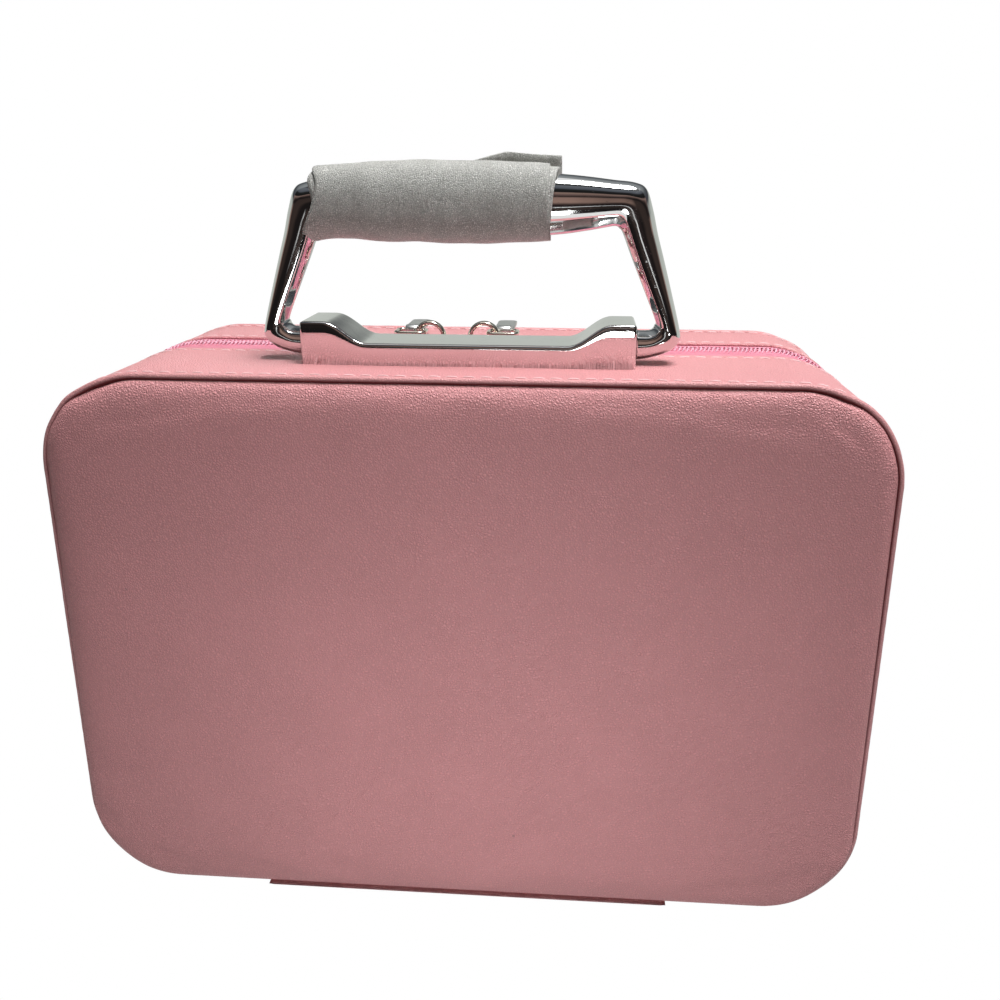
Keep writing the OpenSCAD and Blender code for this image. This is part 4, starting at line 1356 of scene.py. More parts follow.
@dataclass(frozen=True)
class Spine:
    """The strip of leather under the case that joins body and lid, with a slight fold line where the lid
    turns.
    """

    form: CaseForm
    hinge_y: float
    bend: float = 4.0 * MM
    hem: float = 1.8 * MM
    pitch: float = 4.7 * MM

    def build(self) -> list[Piece]:
        """Makes the strip and a row of stitches near its front and its rear edge."""
        low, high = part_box("body_spine")[0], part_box("lid_spine")[1]
        strip = self._strip(low, high)
        rows = [self._row("front", low, high, low.y + 4.2 * MM, "case_body")]
        rows.append(self._row("rear", low, high, high.y - 4.2 * MM, "case_lid"))
        return [strip, *rows]

    def _strip(self, low: Vector, high: Vector) -> Piece:
        """The strip, thin under the piping and thicker between, with rolled ends."""
        lip = 3.0 * MM
        near_end = np.array([0.15, 0.4, 0.8, 1.3, 2.9, 3.1]) * MM
        y = np.unique(np.concatenate([
            np.linspace(low.y, high.y, 61),
            self.hinge_y + np.linspace(-6, 6, 25) * MM,
            low.y + near_end,
            high.y - near_end,
        ]))
        inside = (y > low.y + lip) & (y < high.y - lip)
        top = np.where(inside, self.form.bottom + self.form.skin_inset, self.form.bottom)
        edge = np.minimum(y - low.y, high.y - y)
        rolled = 0.38 * MM * np.sqrt(np.clip(1 - edge / (0.8 * MM), 0, 1))
        fold = 0.22 * MM * np.exp(-(((y - self.hinge_y) / (1.1 * MM)) ** 2))
        across = np.concatenate([[0.0, 0.25, 0.7, 1.4], np.linspace(4, (high.x - low.x) / MM - 4, 40)]) * MM
        across = np.concatenate([across, (high.x - low.x) - np.array([1.4, 0.7, 0.25, 0.0]) * MM])
        side = np.minimum(across, (high.x - low.x) - across)
        curl = 0.38 * MM * np.sqrt(np.clip(1 - side / (0.8 * MM), 0, 1))
        x = low.x + across
        loop_x = np.concatenate([x, x[::-1]])
        lift = np.concatenate([curl, curl[::-1]])
        lower = np.maximum(rolled[:, None] + fold[:, None] + lift[None], 0.02 * MM)
        upper = top[:, None] - rolled[:, None] * 0.6 - lift[None] * 0.6
        z = np.where(np.arange(len(loop_x))[None] < len(x), lower, upper)
        points = np.stack([np.broadcast_to(loop_x, z.shape), np.broadcast_to(y[:, None], z.shape), z], -1)
        seam = np.zeros(z.shape)
        strip = Lattice("spine_leather", points, False, True, Cap.FACE, seam).build()
        strip.data.materials.append(Finish.PIPING.material)
        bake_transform(strip)
        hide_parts("body_spine", "lid_spine")
        log.info("spine_leather: %d faces between body and lid", len(strip.data.polygons))
        return strip

    def _row(self, name: str, low: Vector, high: Vector, y: float, body: str) -> Piece:
        """A row of stitches under the strip."""
        x = np.linspace(low.x + 3 * MM, high.x - 3 * MM, 80)
        points = np.stack([x, np.full(80, y), np.full(80, -0.02 * MM)], -1)
        outward = np.repeat(np.array([[0.0, 0.0, -1.0]]), 80, 0)
        stitch = stitch_mesh(0.74 * self.pitch, 0.26 * MM, 0.3 * MM)
        row = Repeat(f"spine_{name}_stitches", stitch, self.pitch, math.radians(4), 6)
        return row.sewn(points, outward, Finish.THREAD, body)


def outwards(track: Track) -> Array:
    """A track's outward normals as points in space."""
    return np.stack([track.normal[:, 0], np.zeros(len(track.normal)), track.normal[:, 1]], -1)


# ---------- Handle ----------


def turned_in(outline: Array, inset: float) -> Array:
    """A closed outline in the plane, moved inwards along its own corners.

    Args:
        outline: its points, counter-clockwise, one row each.
        inset: how far each edge moves.

    Returns:
        The new outline.
    """
    ahead = np.roll(outline, -1, 0) - outline
    ahead /= np.linalg.norm(ahead, axis=1)[:, None]
    normal = np.stack([-ahead[:, 1], ahead[:, 0]], -1)
    before = np.roll(normal, 1, 0)
    corner = normal + before
    scale = 2 / np.maximum((corner**2).sum(1), 0.7)
    return outline + inset * corner * scale[:, None]


def pillow(
    name: str, outline: Array, low: float, high: float, rounding: float, plane: str, cap: Cap = Cap.FACE
) -> Piece:
    """A flat part with rounded edges.

    Args:
        name: its name.
        outline: its outline in the plane, counter-clockwise.
        low: where it starts across the plane.
        high: where it ends.
        rounding: the radius of its edges.
        plane: "xy" for a part that lies flat, or "xz" for one that stands upright.
        cap: how its two faces are closed.

    Returns:
        The part.
    """
    turn = np.radians(np.array([90, 88, 67, 45, 22, 0]))
    inset = np.concatenate([rounding * (1 - np.cos(turn)), rounding * (1 - np.cos(turn[::-1]))])
    height = np.concatenate([low + rounding * (1 - np.sin(turn)), high - rounding * (1 - np.sin(turn[::-1]))])
    inset[[0, -1]] += 0.12 * MM
    # A ring just inside each flat wall keeps the shading of the rounded edges off it.
    crisp = min(0.3 * MM, 0.1 * (high - low))
    inset = np.insert(inset, 6, [0.0, 0.0])
    height = np.insert(height, 6, [height[5] + crisp, height[6] - crisp])
    rings = []
    for step, level in zip(inset, height):
        ring = turned_in(outline, step)
        across = np.full(len(ring), level)
        columns = (ring[:, 0], ring[:, 1], across) if plane == "xy" else (ring[:, 0], across, ring[:, 1])
        rings.append(np.stack(columns, -1))
    return Lattice(name, np.array(rings), False, True, cap).build()


def arc(
    centre: tuple[float, float], radius: float, start: float, end: float, steps: int
) -> list[tuple[float, float]]:
    """Points on an arc in a plane, from one angle in degrees to another."""
    angles = np.radians(np.linspace(start, end, steps + 1))
    return [(centre[0] + radius * math.cos(a), centre[1] + radius * math.sin(a)) for a in angles]


@dataclass(frozen=True)
class Handle:
    """The plated handle: a cast base with raised ends, a bail that turns in them, and its foam wrap."""

    top_z: float
    middle_y: float
    base_end_h: float = 12.3 * MM
    base_mid_h: float = 6.2 * MM
    base_end_w: float = 6.5 * MM
    base_slope_w: float = 13 * MM
    base_round: float = 0.75 * MM
    elbow_x: float = 48.4 * MM
    pivot_h: float = 5.5 * MM
    grip_top: float = 53.6 * MM
    grip_h: float = 18.8 * MM
    grip_half_d: float = 7.0 * MM
    wrap_turns: float = 2.06
    wrap_gauge: float = 0.7 * MM
    wrap_ends: tuple[float, float] = (-44.5 * MM, 22.8 * MM)

    # Half of the bail's section, from its outer side to its inner side: across, then front to back.
    SECTION = (
        (1.0, 0.0), (0.992, 0.16), (0.965, 0.33), (0.91, 0.5), (0.83, 0.66), (0.72, 0.8), (0.58, 0.905),
        (0.42, 0.965), (0.22, 0.99), (0.0, 1.0), (-0.2, 0.985), (-0.4, 0.955), (-0.52, 0.925),
        (-0.6, 0.88), (-0.66, 0.81), (-0.78, 0.62), (-0.88, 0.45), (-0.95, 0.32), (-0.985, 0.2),
        (-1.0, 0.08),
    )

    @classmethod
    def from_frame(cls) -> "Handle":
        """Reads the handle's place from the base's box."""
        low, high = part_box("handle_base")
        return cls(low.z, (low.y + high.y) / 2)

    def build(self) -> list[Piece]:
        """Makes the base, the bail and the foam wrap."""
        return [self._base(), self._bail(), self._wrap()]

    def _base(self) -> Piece:
        """The cast base: its upper outline runs down from each raised end to a low middle."""
        low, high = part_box("handle_base")
        x, end, mid = high.x, self.base_end_h, self.base_mid_h
        corner = 1.0 * MM
        share = np.linspace(0, 1, 15)
        slope_x = x - self.base_end_w - self.base_slope_w * share
        slope_z = end - (end - mid) * (0.5 - 0.5 * np.cos(math.pi * share))
        right = arc((x - corner, end - corner), corner, 0, 90, 5) + list(zip(slope_x, slope_z))
        upper = right + [(-a, b) for a, b in right[::-1]]
        # Under each upper point lies a lower one, kept clear of the corners' rounding.
        drawn_in = 1 - 1.4 * MM / x
        under = [(a * drawn_in, 0.0) for a, _ in upper]
        under[0], under[-1] = (upper[0][0], 0.0), (upper[-1][0], 0.0)
        outline = np.array(under[::-1] + upper)
        outline[:, 1] += self.top_z
        base = pillow("handle_casting", outline, low.y, high.y, self.base_round, "xz", Cap.STRIPS)
        # The underside stands flat on the leather, without the rounding of the other edges.
        places = places_of(base.data)
        places[:, 2] = np.where(places[:, 2] < self.top_z + 2 * MM, self.top_z, places[:, 2])
        put_vertices(base.data, places)
        return dressed(base, Finish.CHROME, "case_body", "handle_base")

    def _stations(self) -> Array:
        """Half of the bail, from an elbow to the grip's middle.

        Returns:
            Rows of outer x and height, inner x and height, half depth, in metres.
        """
        sizes = (self.elbow_x, self.pivot_h, self.grip_top, self.grip_h, self.grip_half_d)
        e, p, g, h, b = (size / MM for size in sizes)
        return MM * np.array([
            (e, p - 4.3, e, p + 4.1, 4.2), (e + 4.1, p - 3.6, e + 3.2, p + 4.1, 4.5),
            (e + 9.2, p - 1.9, e + 4.4, p + 4.6, 4.8), (e + 12.2, p + 1, e + 4.9, p + 5.6, 4.9),
            (e + 12.2, p + 4.2, e + 5.1, p + 7, 5), (e + 9.5, 0.37 * g, e + 2, 0.37 * g, 5.1),
            (e + 6.6, 0.56 * g, e - 2.4, 0.56 * g, 5.2), (e + 4.7, 0.68 * g, e - 5.2, g - h + 1.9, 5.3),
            (e + 3.1, 0.8 * g, e - 6.2, g - h + 3.1, 5.4), (e + 1.1, g - 5.2, e - 6.9, g - h + 3.5, 5.5),
            (e - 2.2, g - 3.4, e - 7.8, g - h + 3.5, 5.6), (e - 8, g - 2.7, e - 9.4, g - h + 3.2, 0.83 * b),
            (33, g - 1.8, 33, g - h + 2.1, 0.89 * b), (25, g - 1.1, 25, g - h + 1, 0.95 * b),
            (12, g - 0.3, 12, g - h + 0.2, 0.99 * b), (0, g, 0, g - h, b),
        ])

    def _rail(self, steps: int) -> Array:
        """The whole bail from left to right, smoothly between its stations.

        Args:
            steps: how many rows there are from one station to the next.

        Returns:
            Rows as those of _stations, with a last column that is 0 on the legs and 1 on the grip.
        """
        s = self._stations()
        s = np.column_stack([s, np.clip((np.arange(len(s)) - 6) / 4, 0, 1)])
        known = np.vstack([s[:1], s, s[-2:-1] * (-1, 1, -1, 1, 1, 1)])
        rows = []
        for i in range(1, len(s)):
            a, b, c, d = known[i - 1 : i + 3]
            for t in np.arange(steps) / steps:
                square = (2 * a - 5 * b + 4 * c - d) * t * t
                cube = (3 * b - a - 3 * c + d) * t**3
                rows.append(0.5 * (2 * b + (c - a) * t + square + cube))
        half = np.array([*rows, s[-1]])
        return np.vstack([half * (-1, 1, -1, 1, 1, 1), half[-2::-1]])

    def _placed(self, rail: Array, across: Array, depth: Array) -> Array:
        """Sections set on the rail.

        Args:
            rail: rows from _rail.
            across: places across each row, from -1 on its inner side to 1 on its outer side.
            depth: places front to back, in metres.

        Returns:
            Points, rows by section points.
        """
        outer, inner = rail[:, :2], rail[:, 2:4]
        centre, half = (outer + inner) / 2, (outer - inner) / 2
        plane = centre[:, None] + half[:, None] * across[..., None]
        return np.stack([plane[..., 0], self.middle_y + depth, self.top_z + plane[..., 1]], -1)

    def _bail(self) -> Piece:
        """The bail: rounded outside, flatter in front, with a ridge and a chamfer on its inner side."""
        rail = self._rail(7)
        u, v = np.array(self.SECTION).T
        section_u = np.concatenate([u, u[:0:-1]])
        section_v = np.concatenate([v, -v[:0:-1]])
        # The ridge stands further from the inner side on the grip than on the legs.
        shift = 0.16 * rail[:, 5:] * np.exp(-(((section_u + 0.6) / 0.35) ** 2))[None]
        points = self._placed(rail, section_u[None] + shift, section_v[None] * rail[:, 4:5])
        bail = Lattice("handle_bail", points, False, True, Cap.FACE).build()
        return dressed(bail, Finish.CHROME, "carry_bail", "bail")

    def _wrap(self) -> Piece:
        """The packing foam: one sheet wound round the grip, with a ragged left end and a loose right edge."""
        rail = self._rail(7)
        grip = rail[(rail[:, 0] > -49 * MM) & (rail[:, 0] < 31 * MM) & (rail[:, 5] > 0.6)]
        rows, columns = 64, 96
        turn = np.linspace(0, self.wrap_turns, columns)[None]
        left, right = self.wrap_ends
        share = np.linspace(0, 1, rows)[:, None]
        ragged = 1.7 * MM * ripple(np.column_stack([turn[0] * 0.06, turn[0] * 0]), 11 * MM, 41)[None]
        slant = 1.4 * MM * np.sin(turn * math.tau + 0.6)
        x = left + (right - left) * share + (1 - share) ** 6 * (ragged + slant)
        x = x + share**8 * 0.35 * MM * np.sin(turn * 5)
        # At the right the first and the last turn reach further than those between.
        reach = np.clip(1 - turn / 0.5, 0, 1) + np.clip((turn - 1.8) / 0.15, 0, 1)
        x += share**8 * 3.2 * MM * reach
        at = np.stack([[np.interp(x_row, grip[:, 0], grip[:, k]) for x_row in x] for k in range(5)], -1)
        angle = math.radians(-60) + math.tau * turn
        gauge = (0.35 + 0.9 * turn) * self.wrap_gauge + 0.25 * MM
        ca, sa = np.cos(angle), np.sin(angle)
        half = (at[..., 1] - at[..., 3]) / 2
        centre = (at[..., 1] + at[..., 3]) / 2
        place = np.stack([x, turn * 30 * MM + 0 * x], -1).reshape(-1, 2)
        crease = ripple(place * (1, 0.35), 7 * MM, 42).reshape(x.shape) * 0.16 * MM
        soft = ripple(place, 21 * MM, 43).reshape(x.shape) * 0.3 * MM
        loose = np.clip((turn - (self.wrap_turns - 0.3)) / 0.3, 0, 1) * np.clip((share - 0.4) / 0.4, 0, 1)
        rough = np.maximum(crease + soft, -0.3 * MM) * (0.4 + 0.6 * turn / self.wrap_turns)
        margin = gauge + rough + 5.2 * MM * loose**2
        # The foam hangs slack where the grip tapers to the left, above all below it.
        above = (0.5 + 0.5 * ca) * (0.9 + 1.5 * (1 - share) ** 2)
        below = (0.5 - 0.5 * ca) * (3.4 * (1 - share) ** 5 - 0.43 * turn)
        slack = above + below
        power = 0.8
        r = (half + margin + slack * MM) * np.sign(ca) * np.abs(ca) ** power
        d = (at[..., 4] + margin) * np.sign(sa) * np.abs(sa) ** power
        points = np.stack([x, self.middle_y - d, self.top_z + centre + r], -1)
        wrap = Lattice("grip_foam_wrap", points).build()
        thick = wrap.modifiers.new("Gauge", "SOLIDIFY")
        thick.thickness = self.wrap_gauge * 0.8
        thick.offset = 0.0
        applied(wrap)
        wrap.data.shade_smooth()
        dressed(wrap, Finish.FOAM, "carry_bail", "grip_sleeve")
        return wrap


# ---------- Zip pulls ----------


@dataclass(frozen=True)
class Pull:
    """A zip slider with its link and its flat tab, for the left or the right end of the zip."""

    side: str
    zip_y: float
    top_z: float
    arch_r: float = 4.5 * MM
    arch_rise: float = 2.4 * MM
    link_bend: float = 1.8 * MM
    wire: float = 0.7 * MM
    tab_w: float = 6.4 * MM
    tab_t: float = 1.2 * MM

    @property
    def sign(self) -> int:
        """1 for the pull that points to the right, and -1 for the left one."""
        return 1 if self.side == "right" else -1

    def build(self) -> list[Piece]:
        """Makes the slider, the link and the tab."""
        return [self._slider(), self._link(), self._tab()]

    def _slider(self) -> Piece:
        """The slider: two plates joined by lips, under an arch that holds the link."""
        low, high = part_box("slider_" + self.side)
        middle_x = (low.x + high.x) / 2
        half_l, half_w = (high.x - low.x) / 2, (high.y - low.y) / 2
        nose, shoulder, tail = 0.7, -0.5 * half_l, 0.76 * half_l
        ring = [
            (-half_l, -nose * half_w), (shoulder, -half_w), (tail, -half_w), (half_l, -0.76 * half_w),
            (half_l, 0.76 * half_w), (tail, half_w), (shoulder, half_w), (-half_l, nose * half_w),
        ]
        outline = np.array([(middle_x + self.sign * a, self.zip_y + b) for a, b in ring])
        if self.sign < 0:
            outline = outline[::-1]
        z = self.top_z
        top = pillow("slider_top", outline, z, z + 1.05 * MM, 0.4 * MM, "xy")
        under = pillow("slider_under", outline, z - 3.4 * MM, z - 2.45 * MM, 0.35 * MM, "xy")
        parts = [top, under]
        start, side = -0.45 * half_l, 0.42 * MM
        lip = np.array([(start, -side), (tail, -side), (tail, side), (start, side)]) * (self.sign, 1)
        lip = lip if self.sign > 0 else lip[::-1]
        for way in (-1, 1):
            place = lip + (middle_x, self.zip_y + way * (half_w - 0.4 * MM))
            for z0, z1 in ((-0.75, 0.6), (-2.8, -1.85)):
                parts.append(pillow("slider_lip", place, z + z0 * MM, z + z1 * MM, 0.15 * MM, "xy"))
        feet = 0.5 * MM
        bow = arc((0.0, self.arch_rise), self.arch_r, -8, 188, 22)
        bow = [(self.arch_r, feet), *bow, (-self.arch_r, feet)]
        line = np.array([(middle_x + self.sign * a, self.zip_y, self.top_z + b) for a, b in bow])
        share = np.abs(np.linspace(-1, 1, len(line)))
        arch = wire_mesh("slider_arch", line, 0.78 * MM * (1 + 0.2 * share**4), 10)
        # The arch is a strap, wider across the zip than it is thick.
        places = places_of(arch)
        places[:, 1] = self.zip_y + (places[:, 1] - self.zip_y) * 1.85
        put_vertices(arch, places)
        parts.append(new_object("slider_arch", arch))
        body = "zip_slider_" + self.side
        casting = joined(f"slider_{self.side}_casting", *parts)
        return dressed(casting, Finish.SLIDER, body, "slider_" + self.side)

    def _link(self) -> Piece:
        """The link: a wire bent into a rounded oblong."""
        low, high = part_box("link_" + self.side)
        middle_x = (low.x + high.x) / 2
        a, b = (high.x - low.x) / 2 - self.wire, (high.y - low.y) / 2 - self.wire
        r, z = self.link_bend, (low.z + high.z) / 2
        line = []
        for sx, sy, start in ((1, 1, 0), (-1, 1, 90), (-1, -1, 180), (1, -1, 270)):
            centre = (middle_x + sx * (a - r), self.zip_y + sy * (b - r))
            line += arc(centre, r, start, start + 90, 7)
        points = np.array([(x, y, z) for x, y in line])
        link = new_object(f"link_{self.side}_wire", wire_mesh("link", points, self.wire, 12, True))
        return dressed(link, Finish.SLIDER, "pull_link_" + self.side, "link_" + self.side)

    def _tab(self) -> Piece:
        """The tab: a flat blade whose end is rolled round the link."""
        low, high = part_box("tab_" + self.side)
        eye_r = (high.z - low.z) / 2
        x, z, eye_y = (low.x + high.x) / 2, (low.z + high.z) / 2, low.y + eye_r
        half, far, r = self.tab_w / 2, high.y, 1.9 * MM
        near = eye_y + 0.9 * MM
        outline = [(x - 2.2 * MM, near), (x + 2.2 * MM, near), (x + half, near + 2.2 * MM)]
        outline += arc((x + half - r, far - r), r, 0, 90, 7) + arc((x - half + r, far - r), r, 90, 180, 7)
        outline.append((x - half, near + 2.2 * MM))
        half_t = self.tab_t / 2
        blade = pillow("tab_blade", np.array(outline), z - half_t, z + half_t, 0.32 * MM, "xy")
        barrel = 2.35 * MM
        eye_x = np.array([-barrel, -barrel, -barrel + 0.3 * MM, 0.0, barrel - 0.3 * MM, barrel, barrel]) + x
        eye_radius = eye_r * np.array([0.45, 0.85, 1.0, 1.0, 1.0, 0.85, 0.45])
        line = np.stack([eye_x, np.full(7, eye_y), np.full(7, z)], -1)
        line[0, 0] += 0.01 * MM
        line[-1, 0] -= 0.01 * MM
        eye = new_object("tab_eye", wire_mesh("tab_eye", line, eye_radius, 20))
        tab = joined(f"tab_{self.side}_blade", blade, eye)
        return dressed(tab, Finish.TAB, "pull_tab_" + self.side, "tab_" + self.side)


# ---------- Inside ----------


@dataclass(frozen=True)
class Lining:
    """The cloth inside one half, rolled over the board's edge and down to a soft fold at the floor."""

    form: CaseForm
    half: Half
    node: str
    fold: float = 2.4 * MM

    def build(self) -> Piece:
        """Makes the lining as one closed sheet."""
        low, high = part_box(self.node)
        way = self.half.way
        floor, edge = (high.y, low.y) if way < 0 else (low.y, high.y)
        floor_face = floor + way * self.form.lining
        inner, outer = self.form.inner_inset, self.form.inner_inset - self.form.lining
        turn = np.radians(np.linspace(90, 0, 6))
        wall = np.linspace(floor_face + way * (self.fold + 2 * MM), edge - way * 1.5 * MM, 12)
        inset = np.concatenate([
            [26 * MM, 12 * MM, inner + self.fold + 0.8 * MM], inner + self.fold * (1 - np.cos(turn)),
            np.full(len(wall), inner), inner + np.array([0.0, -0.1, -0.5, -1.2, -2.0, -2.4, -2.5, -2.3]) * MM,
            np.array([outer, outer, outer, 26 * MM]),
        ])
        y = np.concatenate([
            np.full(3, floor_face), floor_face + way * self.fold * (1 - np.sin(turn)), wall,
            edge + way * np.array([0.0, 0.35, 0.62, 0.7, 0.66, 0.5, 0.25, 0.1]) * MM,
            np.array([edge - way * 0.2 * MM, edge - way * 8 * MM, floor, floor]),
        ])
        track = Track.around(self.form, 2.2 * MM)
        places = track.point(inset, y)
        soft = (inset[None] > outer + 0.3 * MM) & (np.arange(len(inset))[None] < len(inset) - 4)
        wave = ripple(places, 33 * MM, 51) * 0.12 * MM
        points = track.point(inset + np.where(soft, np.abs(wave), 0), np.broadcast_to(y, wave.shape))
        lining = Lattice(self.node + "_cloth", points, True, ends_closed=True).build()
        dressed(lining, Finish.LINING, self.half.body, self.node)
        return lining


@dataclass(frozen=True)
class Divider:
    """A padded partition: foam on board, covered in cloth, with a rounded open edge."""

    node: str
    rounding: float = 1.7 * MM
    puff: float = 0.35 * MM

    def build(self) -> Piece:
        """Makes the partition and pads its faces a little between their edges."""
        low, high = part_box(self.node)
        size = high - low
        lies = size.x > size.z and size.x > 4 * size.z
        corners = np.array([(low.x, low.z), (high.x, low.z), (high.x, high.z), (low.x, high.z)])
        ring = []
        for a, b in zip(corners, np.roll(corners, -1, 0)):
            count = max(2, round(math.dist(a, b) / (4 * MM)))
            ring += [a + (b - a) * i / count for i in range(count)]
        ring = np.array(ring)
        centre = ring.mean(0)
        turn = np.radians(np.linspace(0, 90, 6))
        y = np.concatenate([
            np.linspace(low.y, high.y - self.rounding, 12), high.y - self.rounding * (1 - np.sin(turn[1:])),
        ])
        inset = np.concatenate([np.zeros(12), self.rounding * (1 - np.cos(turn[1:]))])
        share = np.clip((y - low.y) / size.y, 0, 1)
        thin, limit = (1, size.z / 2) if lies else (0, size.x / 2)
        rings = []
        for level, step, s in zip(y, inset, share):
            moved = ring.copy()
            scale = 1 - (step + self.puff * (1 - math.sin(math.pi * min(1, s * 1.06)) ** 0.5)) / limit
            moved[:, thin] = centre[thin] + (ring[:, thin] - centre[thin]) * scale
            rings.append(np.stack([moved[:, 0], np.full(len(ring), level), moved[:, 1]], -1))
        piece = Lattice(self.node + "_pad", np.array(rings), False, True, Cap.FACE).build()
        dressed(piece, Finish.PAD, "case_body", self.node)
        return piece


@dataclass(frozen=True)
class Pocket:
    """The net pocket in the lid and the ribbed elastic band along its open edge."""

    corner: float = 14 * MM
    sag: float = 0.25 * MM

    def build(self) -> list[Piece]:
        """Makes the net and the band."""
        return [self._net(), self._band()]

    def _net(self) -> Piece:
        """The net, drawn tight to the lining at its sewn edges."""
        low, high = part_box("lid_pocket")
        rows, columns = 60, 110
        x = np.linspace(low.x, high.x, columns)[None]
        share = np.linspace(0, 1, rows)[:, None]
        inward = np.minimum(x - low.x, high.x - x)
        rise = np.clip(self.corner - inward, 0, None)
        bottom = low.z + self.corner - np.sqrt(np.maximum(self.corner**2 - rise**2, 0))
        z = bottom + (high.z - bottom) * share
        from_side = np.clip(inward / (high.x - low.x), 0, 0.5)
        slack = np.sin(math.pi * from_side) * np.sin(math.pi / 2 * share)
        place = np.stack([x + 0 * z, z], -1).reshape(-1, 2)
        wave = ripple(place, 24 * MM, 61).reshape(z.shape)
        y = high.y - 0.1 * MM - (0.25 + 0.25 * slack + 0.08 * wave * slack) * MM
        net = Lattice("lid_pocket_net", np.stack([x + 0 * z, y, z], -1)).build()
        dressed(net, Finish.NET, "case_lid", "lid_pocket")
        return net

    def _band(self) -> Piece:
        """The elastic band with its gathers."""
        low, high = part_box("pocket_band")
        rows = 220
        x = np.linspace(low.x, high.x, rows)
        gather = 0.22 * MM * np.sin(math.tau * x / (2.6 * MM)) * (1 + 0.5 * ripple(x[:, None], 17 * MM, 71))
        section = np.array([(0.02, 0.0), (0.75, 0.0), (0.8, 0.3), (0.8, 8.7), (0.75, 9.0), (0.02, 9.0)]) * MM
        out, up = section[None, :, 0], section[None, :, 1]
        y = high.y - out + np.where(out > 0.5 * MM, -np.abs(gather)[:, None] * 0.6, 0)
        z = low.z + up + 0 * y
        points = np.stack([np.broadcast_to(x[:, None], z.shape), y, z], -1)
        band = Lattice("pocket_elastic", points, False, True, Cap.FACE).build()
        return dressed(band, Finish.ELASTIC, "case_lid", "pocket_band")


# ---------- Studio ----------


